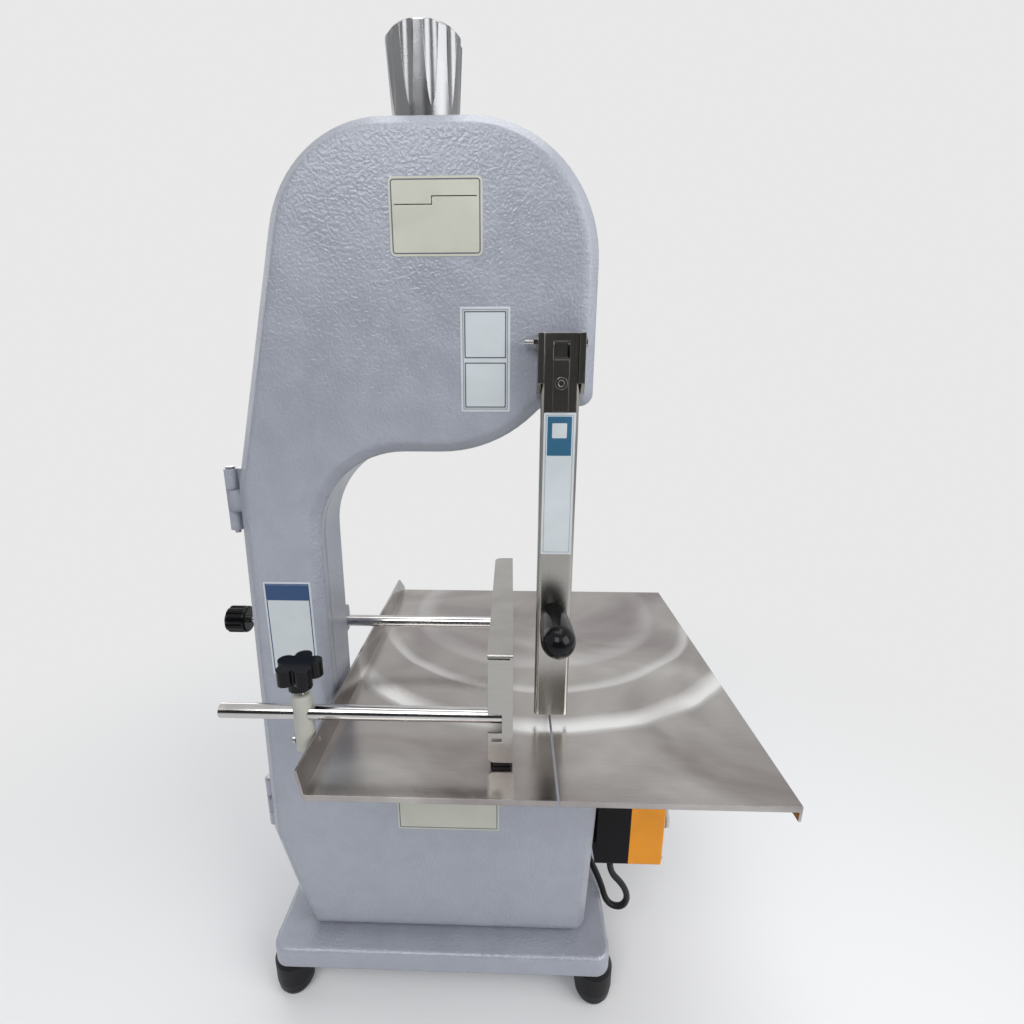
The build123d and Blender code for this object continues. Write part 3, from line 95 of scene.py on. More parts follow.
# ---- finishes ----
class Tree:
    """A material's node tree, built a step at a time."""

    def __init__(self, name: str) -> None:
        """Makes an empty material.

        Args:
            name: the material's name.
        """
        self.material = bpy.data.materials.new(name)
        self.material.use_nodes = True
        self.nodes = self.material.node_tree.nodes
        self.links = self.material.node_tree.links
        self.nodes.clear()
        self.coords = self.add(Kind.COORDS).outputs["Object"]
        self.shader = self.add(Kind.SHADER)
        self.output = self.add(Kind.OUTPUT)
        self.join(self.shader.outputs["BSDF"], self.output.inputs["Surface"])

    def add(self, kind: Kind) -> bpy.types.Node:
        """Adds a node of a kind."""
        return self.nodes.new(kind.value)

    def join(self, source: Socket, target: Socket) -> None:
        """Links one socket to another."""
        self.links.new(source, target)

    def place(self, scale: Point, turn: Point = (0.0, 0.0, 0.0)) -> Socket:
        """Object coordinates through a Mapping node.

        Args:
            scale: the scale along each axis.
            turn: the rotation in degrees about each axis.

        Returns:
            The mapped vector's socket.
        """
        mapping = self.add(Kind.MAPPING)
        mapping.inputs["Scale"].default_value = scale
        mapping.inputs["Rotation"].default_value = [math.radians(angle) for angle in turn]
        self.join(self.coords, mapping.inputs["Vector"])
        return mapping.outputs["Vector"]

    def noise(self, vector: Socket, scale: float, detail: float = 3.0, distortion: float = 0.0) -> Socket:
        """A noise texture's value.

        Args:
            vector: where it is read.
            scale: its frequency.
            detail: its number of octaves.
            distortion: how far it is warped.

        Returns:
            The value's socket.
        """
        texture = self.add(Kind.NOISE)
        texture.inputs["Scale"].default_value = scale
        texture.inputs["Detail"].default_value = detail
        texture.inputs["Distortion"].default_value = distortion
        self.join(vector, texture.inputs["Vector"])
        return texture.outputs["Fac"]

    def cells(self, vector: Socket, scale: float) -> Socket:
        """A Voronoi texture's distance, with smooth cells."""
        texture = self.add(Kind.VORONOI)
        texture.feature = "SMOOTH_F1"
        texture.inputs["Scale"].default_value = scale
        self.join(vector, texture.inputs["Vector"])
        return texture.outputs["Distance"]

    def ramp(self, value: Socket, stops: list[tuple[float, Colour]]) -> Socket:
        """A colour ramp.

        Args:
            value: what it reads.
            stops: each stop's place and colour.

        Returns:
            The colour's socket.
        """
        node = self.add(Kind.RAMP)
        elements = node.color_ramp.elements
        while len(elements) < len(stops):
            elements.new(0.5)
        for element, (place, colour) in zip(elements, stops):
            element.position = place
            element.color = (*colour, 1.0)
        self.join(value, node.inputs["Fac"])
        return node.outputs["Color"]

    def level(self, value: Socket, low: float, high: float) -> Socket:
        """Stretches a 0 to 1 value to a low and a high."""
        return self.ramp(value, [(0.3, (low, low, low)), (0.7, (high, high, high))])

    def sum(self, first: Socket, second: Socket, share: float) -> Socket:
        """Adds a share of one value to another.

        Args:
            first: the value that counts whole.
            second: the value that counts in part.
            share: how much of the second is added.

        Returns:
            The total's socket.
        """
        node = self.add(Kind.MATH)
        node.operation = "MULTIPLY_ADD"
        self.join(second, node.inputs[0])
        node.inputs[1].default_value = share
        self.join(first, node.inputs[2])
        return node.outputs[0]

    def blend(self, amount: Socket, first: Socket, second: Socket) -> Socket:
        """Mixes two colours.

        Args:
            amount: how much of the second shows.
            first: the colour at 0.
            second: the colour at 1.

        Returns:
            The mixed colour's socket.
        """
        node = self.add(Kind.MIX)
        node.data_type = "RGBA"
        self.join(amount, node.inputs[0])
        self.join(first, node.inputs[6])
        self.join(second, node.inputs[7])
        return node.outputs[2]

    def relief(
        self, height: Socket, strength: float, depth: float, normal: Socket | None = None
    ) -> Socket:
        """A bump.

        Args:
            height: the height it reads.
            strength: how much of it shows.
            depth: its depth in metres.
            normal: a normal that it goes over.

        Returns:
            The normal's socket.
        """
        node = self.add(Kind.BUMP)
        node.inputs["Strength"].default_value = strength
        node.inputs["Distance"].default_value = depth
        self.join(height, node.inputs["Height"])
        if normal is not None:
            self.join(normal, node.inputs["Normal"])
        return node.outputs["Normal"]

    def soft_edges(self, radius: float) -> Socket:
        """A normal that rounds sharp edges by a radius in metres."""
        node = self.add(Kind.BEVEL)
        node.samples = 4
        node.inputs["Radius"].default_value = radius
        return node.outputs["Normal"]

    def finish(self, **values: float | Socket) -> Material:
        """Fills the shader's sockets, named with underscores for spaces.

        Args:
            values: a number or colour for a socket, or the socket that feeds it.

        Returns:
            The material.
        """
        for name, value in values.items():
            socket = self.shader.inputs[name.replace("_", " ")]
            if isinstance(value, Socket):
                self.join(value, socket)
            else:
                socket.default_value = value
        return self.material


def shade(colour: Colour, factor: float) -> Colour:
    """A colour made lighter or darker by a factor."""
    return tuple(min(1.0, part * factor) for part in colour)


@dataclass(frozen=True)
class Hammertone:
    """Sprayed enamel with a coarse orange-peel skin and faint mottling."""

    name: str
    colour: Colour
    peel: float = 400.0
    edge: float = 0.0014

    def material(self) -> Material:
        """Builds the enamel."""
        tree = Tree(self.name)
        plain = tree.place(EVEN)
        mottle = tree.noise(plain, 38.0, 4.0, 0.6)
        fleck = tree.cells(plain, self.peel * 1.4)
        cloud = tree.noise(plain, 6.0, 2.0)
        base = tree.ramp(mottle, [(0.35, shade(self.colour, 0.93)), (0.65, shade(self.colour, 1.06))])
        worn = tree.ramp(cloud, [(0.3, shade(self.colour, 0.95)), (0.7, shade(self.colour, 1.04))])
        colour = tree.blend(fleck, base, worn)
        bubbles = tree.noise(plain, self.peel, 1.0, 0.4)
        peel = tree.ramp(bubbles, [(0.34, (0.0, 0.0, 0.0)), (0.66, (1.0, 1.0, 1.0))])
        normal = tree.relief(peel, 0.6, 0.0004, tree.soft_edges(self.edge))
        rough = tree.level(mottle, 0.28, 0.42)
        return tree.finish(
            Base_Color=colour,
            Roughness=rough,
            Normal=normal,
            Metallic=0.15,
            Coat_Weight=0.35,
            Coat_Roughness=0.2,
        )


@dataclass(frozen=True)
class SatinSteel:
    """Rolled stainless sheet: fine grain one way, smudges, a faint tint and any painted lamp reflection
    arcs.
    """

    name: str
    colour: Colour
    grain: Point
    rough: tuple[float, float] = (0.24, 0.42)
    tint: Colour = (1.0, 1.0, 1.0)
    depth: float = 0.84
    # Painted reflection arcs of long lamps: each a middle, width and strength, round a centre and warped by
    # noise.
    arcs: tuple[Point, ...] = ()
    arc_centre: Point = (0.080, 0.138, 0.343)
    arc_warp: float = 0.018

    def material(self) -> Material:
        """Builds the steel."""
        tree = Tree(self.name)
        grain = tree.noise(tree.place(self.grain), 60.0, 4.0)
        plain = tree.place(EVEN)
        smudge = tree.noise(plain, 7.0, 3.0, 0.8)
        cloud = tree.noise(plain, 14.0, 3.0, 0.4)
        dark = tuple(part * hue * self.depth for part, hue in zip(self.colour, self.tint))
        base = tree.ramp(smudge, [(0.32, dark), (0.68, shade(self.colour, 2.0 - self.depth))])
        lines = tree.ramp(grain, [(0.35, shade(self.colour, 0.86)), (0.65, shade(self.colour, 1.10))])
        base = tree.blend(tree.level(cloud, 0.25, 0.55), base, lines)
        # Painted reflection: pale arcs of long lamps are painted into the steel's colour and broken up by
        # noise.
        if self.arcs:
            bright = tree.ramp(smudge, [(0.0, (0.86, 0.86, 0.86)), (1.0, (0.95, 0.95, 0.94))])
            base = tree.blend(self.lamp_reflection_arcs(tree, smudge), base, bright)
        rough = tree.level(smudge, *self.rough)
        normal = tree.relief(grain, 0.25, 0.00008, tree.soft_edges(0.0006))
        return tree.finish(Base_Color=base, Roughness=rough, Normal=normal, Metallic=1.0)

    def lamp_reflection_arcs(self, tree: Tree, smudge: Socket) -> Socket:
        """The wide pale arcs of painted reflection, where long lamps would show in the steel, as an amount
        from 0 to 1.

        Args:
            tree: the steel's tree.
            smudge: a noise that breaks the arcs up.

        Returns:
            The amount's socket.
        """
        offset = tree.nodes.new("ShaderNodeVectorMath")
        offset.operation = "DISTANCE"
        tree.join(tree.coords, offset.inputs[0])
        offset.inputs[1].default_value = self.arc_centre
        warped = tree.sum(offset.outputs["Value"], smudge, self.arc_warp)
        stops = [(0.0, (0.0, 0.0, 0.0))]
        # Each arc rises slowly, holds its strength up to its middle and falls off quickly.
        for middle, width, strength in self.arcs:
            stops.append((middle - width, (0.0, 0.0, 0.0)))
            stops.append((middle - width * 0.3, (strength, strength, strength)))
            stops.append((middle, (strength, strength, strength)))
            stops.append((middle + width * 0.25, (0.0, 0.0, 0.0)))
        broken = tree.noise(tree.coords, 7.0, 1.0)
        patchy = tree.ramp(broken, [(0.34, (0.25, 0.25, 0.25)), (0.54, (1.0, 1.0, 1.0))])
        amount = tree.add(Kind.MATH)
        amount.operation = "MULTIPLY"
        tree.join(tree.ramp(warped, stops), amount.inputs[0])
        tree.join(patchy, amount.inputs[1])
        return amount.outputs[0]


@dataclass(frozen=True)
class TurnedSteel:
    """Turned, ground or plated steel with faint tool marks."""

    name: str
    colour: Colour
    rough: tuple[float, float]
    marks: float = 900.0

    def material(self) -> Material:
        """Builds the steel."""
        tree = Tree(self.name)
        plain = tree.place(EVEN)
        fine = tree.noise(plain, self.marks, 2.0)
        film = tree.noise(plain, 30.0, 4.0, 0.8)
        base = tree.ramp(film, [(0.3, shade(self.colour, 0.86)), (0.7, shade(self.colour, 1.06))])
        rough = tree.level(film, *self.rough)
        normal = tree.relief(fine, 0.12, 0.00004, tree.soft_edges(0.0005))
        return tree.finish(Base_Color=base, Roughness=rough, Normal=normal, Metallic=1.0)


@dataclass(frozen=True)
class CastMetal:
    """Sand-cast or die-cast metal with a grainy skin."""

    name: str
    colour: Colour
    rough: tuple[float, float]
    grit: float = 420.0
    metallic: float = 0.9

    def material(self) -> Material:
        """Builds the casting's skin."""
        tree = Tree(self.name)
        plain = tree.place(EVEN)
        grit = tree.noise(plain, self.grit, 4.0)
        stain = tree.noise(plain, 14.0, 5.0, 1.0)
        base = tree.ramp(stain, [(0.3, shade(self.colour, 0.78)), (0.7, shade(self.colour, 1.12))])
        rough = tree.level(grit, *self.rough)
        normal = tree.relief(grit, 0.5, 0.0002, tree.soft_edges(0.001))
        return tree.finish(Base_Color=base, Roughness=rough, Normal=normal, Metallic=self.metallic)


@dataclass(frozen=True)
class Moulded:
    """Moulded plastic or rubber, from matte to glossy."""

    name: str
    colour: Colour
    rough: tuple[float, float]
    grain: float = 700.0
    relief: float = 0.00005
    coat: float = 0.0
    metallic: float = 0.0
    glow: float = 0.0
    shine: float = 0.5

    def material(self) -> Material:
        """Builds the plastic."""
        tree = Tree(self.name)
        plain = tree.place(EVEN)
        grain = tree.noise(plain, self.grain, 3.0)
        handled = tree.noise(plain, 22.0, 5.0, 0.7)
        base = tree.ramp(handled, [(0.3, shade(self.colour, 0.88)), (0.7, shade(self.colour, 1.12))])
        rough = tree.level(handled, *self.rough)
        normal = tree.relief(grain, 0.4, self.relief, tree.soft_edges(0.0008))
        return tree.finish(
            Base_Color=base,
            Roughness=rough,
            Normal=normal,
            Metallic=self.metallic,
            Coat_Weight=self.coat,
            Coat_Roughness=0.08,
            Specular_IOR_Level=self.shine,
            Subsurface_Weight=self.glow,
            Subsurface_Scale=0.004,
        )


@dataclass(frozen=True)
class Film:
    """A plain printed film with slight fading and rubbing."""

    name: str
    colour: Colour
    rough: tuple[float, float] = (0.32, 0.46)

    def material(self) -> Material:
        """Builds the film."""
        tree = Tree(self.name)
        plain = tree.place(EVEN)
        fade = tree.noise(plain, 26.0, 5.0, 0.5)
        speck = tree.noise(plain, 340.0, 2.0)
        base = tree.ramp(fade, [(0.25, shade(self.colour, 0.90)), (0.75, shade(self.colour, 1.05))])
        rough = tree.level(fade, *self.rough)
        normal = tree.relief(speck, 0.25, 0.00004)
        return tree.finish(
            Base_Color=base, Roughness=rough, Normal=normal, Coat_Weight=0.3, Coat_Roughness=0.25
        )


ENAMEL = Hammertone("grey_enamel", (0.335, 0.352, 0.405))
DOOR_ENAMEL = Hammertone("door_enamel", (0.335, 0.352, 0.405), edge=0.010)
TABLE_STEEL = SatinSteel(
    "table_steel",
    (0.385, 0.374, 0.358),
    (1.0, 60.0, 1.0),
    rough=(0.13, 0.25),
    tint=(1.0, 0.82, 0.88),
    depth=0.52,
    # Painted reflection: pale arcs where long lamps would reflect in the table, each a middle, width and
    # strength.
    arcs=((0.158, 0.026, 0.20), (0.204, 0.012, 0.45), (0.262, 0.020, 1.0)),
)
FOLDED_STEEL = SatinSteel("folded_steel", (0.38, 0.365, 0.34), (60.0, 60.0, 1.0), rough=(0.17, 0.29))
FENCE_STEEL = SatinSteel("fence_steel", (0.39, 0.38, 0.36), (1.0, 1.0, 60.0), rough=(0.15, 0.27))
BLADE_STEEL = SatinSteel("blade_steel", (0.50, 0.50, 0.51), (1.0, 1.0, 80.0), rough=(0.22, 0.36))
PLAIN_STEEL = TurnedSteel("plain_steel", (0.50, 0.50, 0.51), (0.26, 0.40))
BRIGHT_STEEL = TurnedSteel("bright_steel", (0.56, 0.55, 0.54), (0.08, 0.18))
DIE_CAST = CastMetal("die_cast", (0.50, 0.51, 0.53), (0.42, 0.58))
GREY_IRON = CastMetal("grey_iron", (0.22, 0.22, 0.23), (0.45, 0.65), metallic=0.75)
COPPER = CastMetal("wound_copper", (0.55, 0.24, 0.10), (0.30, 0.5), grit=260.0)
SILVER_KNOB = Moulded("silver_knob", (0.21, 0.212, 0.22), (0.20, 0.32), metallic=0.85, relief=0.00009)
GLOSS_BLACK = Moulded("gloss_black", (0.005, 0.005, 0.006), (0.08, 0.15), grain=120.0, shine=0.18)
MATTE_BLACK = Moulded("matte_black", (0.006, 0.006, 0.007), (0.34, 0.46), relief=0.00006, shine=0.10)
SOFT_RUBBER = Moulded("soft_rubber", (0.009, 0.009, 0.010), (0.38, 0.55), relief=0.00010, shine=0.18)
SHEATH = Moulded("lead_sheath", (0.012, 0.012, 0.013), (0.34, 0.46), grain=300.0, shine=0.3)
NYLON = Moulded("cream_nylon", (0.42, 0.42, 0.375), (0.38, 0.52), glow=0.2)
AMBER = Moulded("amber_plastic", (0.74, 0.275, 0.014), (0.30, 0.42), relief=0.00008, shine=0.25)
PALE_GREY = Moulded("pale_grey_plastic", (0.50, 0.51, 0.50), (0.34, 0.46))
RED = Moulded("red_plastic", (0.50, 0.02, 0.015), (0.30, 0.42))
CREAM_FILM = Film("cream_film", (0.50, 0.505, 0.43))
PALE_FILM = Film("pale_film", (0.55, 0.59, 0.61))
BLUE_FILM = Film("blue_film", (0.010, 0.050, 0.150))
TEAL_FILM = Film("teal_film", (0.020, 0.110, 0.200))
GREY_FILM = Film("grey_film", (0.30, 0.32, 0.35))
DARK_FILM = Film("dark_film", (0.10, 0.11, 0.13))

SKINS = {
    ENAMEL: ["base_plate", "body_casting", "carriage_cover", "table_supports", "rear_rod_lug"],
    DOOR_ENAMEL: ["door"],
    TABLE_STEEL: ["worktable"],
    FOLDED_STEEL: ["blade_guard", "guard_strips", "guard_holder"],
    FENCE_STEEL: ["fence_plate"],
    PLAIN_STEEL: [
        "base_fasteners",
        "hinge_pins",
        "carriage_rails",
        "cover_screws",
        "back_wall_bolts",
        "table_studs",
        "upper_axle",
        "tension_screw",
        "motor_shaft",
    ],
    BRIGHT_STEEL: [
        "guide_rollers",
        "tension_bush",
        "motor_bearings",
        "upper_wheel_bearings",
        "latch_screw",
        "holder_fasteners",
        "spring_clip",
        "guard_fasteners",
        "fence_rods",
    ],
    DIE_CAST: ["blade_guides", "motor_shields", "motor_housing"],
    GREY_IRON: ["upper_wheel", "lower_wheel", "tension_carriage", "motor_rotor"],
    COPPER: ["motor_stator"],
    SILVER_KNOB: ["tension_knob"],
    GLOSS_BLACK: ["guard_handle", "star_knob", "rear_knob", "fence_glides"],
    MATTE_BLACK: [
        "fan_cover",
        "terminal_box",
        "switch_box_back",
        "contact_blocks",
        "cable_glands",
        "cooling_fan",
    ],
    SOFT_RUBBER: ["rubber_feet"],
    NYLON: ["rod_post", "lower_scraper", "upper_scraper"],
    AMBER: ["switch_box_cover"],
    PALE_GREY: ["button_collars", "start_button"],
    RED: ["stop_button"],
}


# ---- shared tools for shapes ----
def mesh_piece(name: str, mesh: bpy.types.Mesh) -> Piece:
    """Puts a mesh in the scene as a piece at the origin."""
    piece = bpy.data.objects.new(name, mesh)
    bpy.context.scene.collection.objects.link(piece)
    return piece


def from_bmesh(name: str, shape: bmesh.types.BMesh, smooth: bool = False) -> Piece:
    """Turns a bmesh into a piece.

    Args:
        name: the piece's name.
        shape: its mesh, freed here.
        smooth: whether its faces are shaded smooth.

    Returns:
        The piece.
    """
    for face in shape.faces:
        face.smooth = smooth
    mesh = bpy.data.meshes.new(name)
    shape.to_mesh(mesh)
    shape.free()
    return mesh_piece(name, mesh)


def dress(piece: Piece, *finishes: Material) -> Piece:
    """Gives a piece its materials in slot order, and leaves each face in its slot."""
    slots = piece.data.materials
    for place, material in enumerate(finishes):
        if place < len(slots):
            slots[place] = material
        else:
            slots.append(material)
    return piece


def rounded_rectangle(half_x: float, half_z: float, radius: float, steps: int = 6) -> Outline:
    """The outline of a rectangle with rounded corners.

    Args:
        half_x: half its width.
        half_z: half its height.
        radius: the corners' radius.
        steps: how many edges each corner has.

    Returns:
        Its points, counter-clockwise.
    """
    points = []
    for corner, (sx, sz) in enumerate(((1, 1), (-1, 1), (-1, -1), (1, -1))):
        for step in range(steps + 1):
            angle = math.pi / 2 * (corner + step / steps)
            x = sx * (half_x - radius) + radius * math.cos(angle)
            z = sz * (half_z - radius) + radius * math.sin(angle)
            points.append((x, z))
    return points


class Grove:
    """A Geometry Nodes tree with named size inputs, run once on a start mesh."""

    def __init__(self, name: str) -> None:
        """Makes the tree with a geometry input and output."""
        self.tree = bpy.data.node_groups.new(name, "GeometryNodeTree")
        self.tree.interface.new_socket("Geometry", in_out="INPUT", socket_type="NodeSocketGeometry")
        self.tree.interface.new_socket("Geometry", in_out="OUTPUT", socket_type="NodeSocketGeometry")
        self.values: dict[str, float | int] = {}
        self.identifiers: dict[str, str] = {}

    def number(self, name: str, value: float | int) -> None:
        """Adds a named input and the value it is run with."""
        kind = "NodeSocketInt" if isinstance(value, int) else "NodeSocketFloat"
        socket = self.tree.interface.new_socket(name, in_out="INPUT", socket_type=kind)
        self.identifiers[name] = socket.identifier
        self.values[name] = value

    def open(self) -> None:
        """Adds the input and output nodes, once every input is named."""
        self.source = self.tree.nodes.new("NodeGroupInput")
        self.sink = self.tree.nodes.new("NodeGroupOutput")

    def size(self, name: str) -> Socket:
        """A named input's socket."""
        return self.source.outputs[name]

    def add(self, kind: str, **inputs: object) -> bpy.types.Node:
        """Adds a node, feeding its inputs from sockets or values.

        Args:
            kind: the node type after "GeometryNode", or a whole type name.
            inputs: what goes in each input, named with underscores for spaces.

        Returns:
            The node.
        """
        whole = kind if kind.startswith(("Function", "Shader")) else f"GeometryNode{kind}"
        node = self.tree.nodes.new(whole)
        for name, value in inputs.items():
            self.feed(node.inputs[name.replace("_", " ")], value)
        return node

    def feed(self, socket: Socket, value: object) -> None:
        """Links a socket into another, or sets its value."""
        if isinstance(value, Socket):
            self.tree.links.new(value, socket)
        else:
            socket.default_value = value

    def math(self, operation: str, first: object, second: object = 0.0) -> Socket:
        """A Math node's result."""
        node = self.add("ShaderNodeMath")
        node.operation = operation
        self.feed(node.inputs[0], first)
        self.feed(node.inputs[1], second)
        return node.outputs[0]

    def vector(self, x: object = 0.0, y: object = 0.0, z: object = 0.0) -> Socket:
        """A Combine XYZ node's vector."""
        node = self.add("ShaderNodeCombineXYZ")
        for socket, value in zip(node.inputs, (x, y, z)):
            self.feed(socket, value)
        return node.outputs[0]

    def grow(self, name: str, last: Socket, start: Piece, material: Material) -> Piece:
        """Realizes the result, runs the tree on a start piece and keeps the plain mesh.

        Args:
            name: the finished piece's name.
            last: the geometry that the tree ends with.
            start: the piece whose geometry goes in, removed here.
            material: the finish that every face gets.

        Returns:
            The finished piece, with no modifier.
        """
        real = self.add("RealizeInstances", Geometry=last)
        skin = self.add("SetMaterial", Geometry=real.outputs[0])
        skin.inputs["Material"].default_value = material
        self.feed(self.sink.inputs[0], skin.outputs[0])
        modifier = start.modifiers.new("grow", "NODES")
        modifier.node_group = self.tree
        for label, value in self.values.items():
            modifier[self.identifiers[label]] = value
        bpy.context.view_layer.update()
        grown = start.evaluated_get(bpy.context.evaluated_depsgraph_get())
        mesh = bpy.data.meshes.new_from_object(grown)
        mesh.name = name
        start.modifiers.clear()
        bpy.data.objects.remove(start)
        return mesh_piece(name, mesh)


def report(piece: Piece, body: str) -> Piece:
    """Names a new piece's body, and logs it.

    Args:
        piece: the finished piece.
        body: the body that it rides on.

    Returns:
        The piece.
    """
    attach(piece, body)
    log.info("%s: %d faces, on %s", piece.name, len(getattr(piece.data, "polygons", [])), body)
    return piece


# ---- the studio ----
@dataclass
class Studio:
    """Pale floor and backdrop, soft lamps, a dark card for the steel to reflect, and the camera."""

    camera_at: Point = (0.0482, -0.5054, 0.6441)
    pitch: float = 14.76
    yaw: float = 1.73
    lens: float = 18.28
    shift: float = 0.0166
    floor_half: float = 6.0
    fade_from: float = 0.25
    fade_to: float = 1.1
    backdrop: Colour = (0.81, 0.81, 0.81)

    def build(self) -> None:
        """Makes the whole studio."""
        self.place_camera()
        self.lay_floor()
        self.light_world()
        self.hang_card((0.1, -2.6, 0.9), (2.6, 1.3))
        self.hang_lamp("key", (-0.5, -1.6, 2.0), (0.0, 0.0, 0.45), 1.1, 17.0)
        self.hang_lamp("fill", (1.5, -1.0, 1.4), (0.0, 0.0, 0.5), 1.4, 24.0)
        self.hang_lamp("top", (0.1, 0.3, 2.5), (0.0, 0.05, 0.4), 1.4, 15.0)
        self.hang_lamp("back", (-1.5, 1.5, 1.0), (0.0, 0.0, 0.4), 1.2, 6.0)
        bpy.context.scene.view_settings.view_transform = "Standard"

    def place_camera(self) -> None:
        """Sets the camera."""
        data = bpy.data.cameras.new("camera")
        data.lens = self.lens
        data.sensor_width = 36.0
        data.shift_x = self.shift
        data.clip_start = 0.02
        camera = bpy.data.objects.new("camera", data)
        camera.location = self.camera_at
        camera.rotation_euler = (math.radians(90 - self.pitch), 0.0, math.radians(self.yaw))
        bpy.context.scene.collection.objects.link(camera)
        bpy.context.scene.camera = camera

    def lay_floor(self) -> None:
        """Makes the floor, in a pale finish that runs out into the backdrop."""
        shape = bmesh.new()
        bmesh.ops.create_grid(shape, x_segments=1, y_segments=1, size=self.floor_half)
        floor = from_bmesh("floor", shape)
        tree = Tree("pale_floor")
        tint = tree.noise(tree.place(EVEN), 0.6, 2.0)
        base = tree.ramp(tint, [(0.3, (0.84, 0.84, 0.84)), (0.7, (0.87, 0.87, 0.87))])
        paper = tree.finish(Base_Color=base, Roughness=0.8, Specular_IOR_Level=0.2)
        self.fade_floor(tree)
        dress(floor, paper)
        floor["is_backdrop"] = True

    def hang_card(self, at: Point, half: tuple[float, float]) -> None:
        """Hangs a dark card behind the camera, which only the steel's reflections show.

        Args:
            at: its middle.
            half: half its width and height.
        """
        shape = bmesh.new()
        bmesh.ops.create_grid(shape, x_segments=1, y_segments=1, size=1.0)
        spread = Matrix.Translation(at) @ Matrix.Rotation(math.radians(90), 4, "X")
        bmesh.ops.transform(shape, matrix=spread @ Matrix.Diagonal((*half, 1.0, 1.0)), verts=shape.verts)
        card = from_bmesh("dark_card", shape)
        tree = Tree("dark_card")
        weave = tree.noise(tree.coords, 3.0, 2.0)
        felt = tree.ramp(weave, [(0.3, (0.03, 0.03, 0.03)), (0.7, (0.07, 0.07, 0.07))])
        dress(card, tree.finish(Base_Color=felt, Roughness=0.9))
        card.visible_camera = False
        card.visible_diffuse = False
        card.visible_shadow = False
        card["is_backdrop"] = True

    def fade_floor(self, tree: Tree) -> None:
        """Lets the floor run out into the pale backdrop, where only the view sees it.

        Args:
            tree: the floor's finished tree.
        """
        span = tree.nodes.new("ShaderNodeVectorMath")
        span.operation = "LENGTH"
        tree.join(tree.coords, span.inputs[0])
        reach = tree.nodes.new("ShaderNodeMapRange")
        reach.interpolation_type = "SMOOTHSTEP"
        reach.inputs["From Min"].default_value = self.fade_from
        reach.inputs["From Max"].default_value = self.fade_to
        tree.join(span.outputs["Value"], reach.inputs["Value"])
        path = tree.nodes.new("ShaderNodeLightPath")
        amount = tree.add(Kind.MATH)
        amount.operation = "MULTIPLY"
        tree.join(reach.outputs["Result"], amount.inputs[0])
        tree.join(path.outputs["Is Camera Ray"], amount.inputs[1])
        glow = tree.nodes.new("ShaderNodeEmission")
        glow.inputs["Color"].default_value = (*self.backdrop, 1.0)
        mix = tree.nodes.new("ShaderNodeMixShader")
        tree.join(amount.outputs[0], mix.inputs[0])
        tree.join(tree.shader.outputs["BSDF"], mix.inputs[1])
        tree.join(glow.outputs[0], mix.inputs[2])
        tree.join(mix.outputs[0], tree.output.inputs["Surface"])

    def light_world(self) -> None:
        """Lights the room plainly and shows white behind the saw."""
        world = bpy.data.worlds.new("room")
        world.use_nodes = True
        bpy.context.scene.world = world
        nodes = world.node_tree.nodes
        links = world.node_tree.links
        nodes.clear()
        path = nodes.new("ShaderNodeLightPath")
        shown = path.outputs["Is Camera Ray"]
        for ray in ("Is Transmission Ray", "Is Glossy Ray"):
            either = nodes.new("ShaderNodeMath")
            either.operation = "MAXIMUM"
            links.new(shown, either.inputs[0])
            links.new(path.outputs[ray], either.inputs[1])
            shown = either.outputs[0]
        room = nodes.new("ShaderNodeBackground")
        room.inputs["Color"].default_value = (0.90, 0.94, 1.0, 1.0)
        room.inputs["Strength"].default_value = 0.38
        white = nodes.new("ShaderNodeBackground")
        white.inputs["Color"].default_value = (*self.backdrop, 1.0)
        white.inputs["Strength"].default_value = 1.0
        mix = nodes.new("ShaderNodeMixShader")
        links.new(shown, mix.inputs[0])
        links.new(room.outputs[0], mix.inputs[1])
        links.new(white.outputs[0], mix.inputs[2])
        output = nodes.new("ShaderNodeOutputWorld")
        links.new(mix.outputs[0], output.inputs[0])

    def hang_lamp(self, name: str, at: Point, target: Point, size: float, power: float) -> None:
        """Hangs one square soft lamp.

        Args:
            name: its name.
            at: its place.
            target: the point it faces.
            size: its side.
            power: its power in watts.
        """
        data = bpy.data.lights.new(name, "AREA")
        data.size = size
        data.energy = power
        lamp = bpy.data.objects.new(name, data)
        lamp.location = at
        lamp.rotation_euler = (Vector(target) - Vector(at)).to_track_quat("-Z", "Y").to_euler()
        bpy.context.scene.collection.objects.link(lamp)


# ---- the lead ----
@dataclass
class SwitchLead:
    """The black lead from the switch box to the motor's terminal box."""

    route: list[Point] = field(
        default_factory=lambda: [
            (0.161, -0.0445, 0.128),
            (0.161, -0.0445, 0.111),
            (0.177, -0.0485, 0.097),
            (0.183, -0.0495, 0.079),
            (0.176, -0.0475, 0.063),
            (0.161, -0.0415, 0.062),
            (0.1555, -0.0315, 0.080),
            (0.141, -0.0165, 0.104),
            (0.119, 0.0055, 0.140),
            (0.097, 0.0255, 0.186),
            (0.078, 0.0405, 0.226),
            (0.055, 0.0445, 0.262),
            (0.043, 0.0455, 0.28776),
            (0.029, 0.0455, 0.28776),
        ]
    )
    diameter: float = 0.007
    length: float = 0.372

    def build(self, sheath: Material) -> None:
        """Makes the lead as one smooth curve."""
        curve = bpy.data.curves.new("lead", "CURVE")
        curve.dimensions = "3D"
        curve.bevel_depth = self.diameter / 2
        curve.bevel_resolution = 6
        curve.use_fill_caps = True
        spline = curve.splines.new("NURBS")
        spline.points.add(len(self.route) - 1)
        for point, place in zip(spline.points, self.route):
            point.co = (*place, 1.0)
        spline.order_u = 3
        spline.use_endpoint_u = True
        spline.resolution_u = 16
        lead = mesh_piece("lead", curve)
        curve.materials.append(sheath)
        report(lead, "machine")
        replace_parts(lead, "switch_lead")


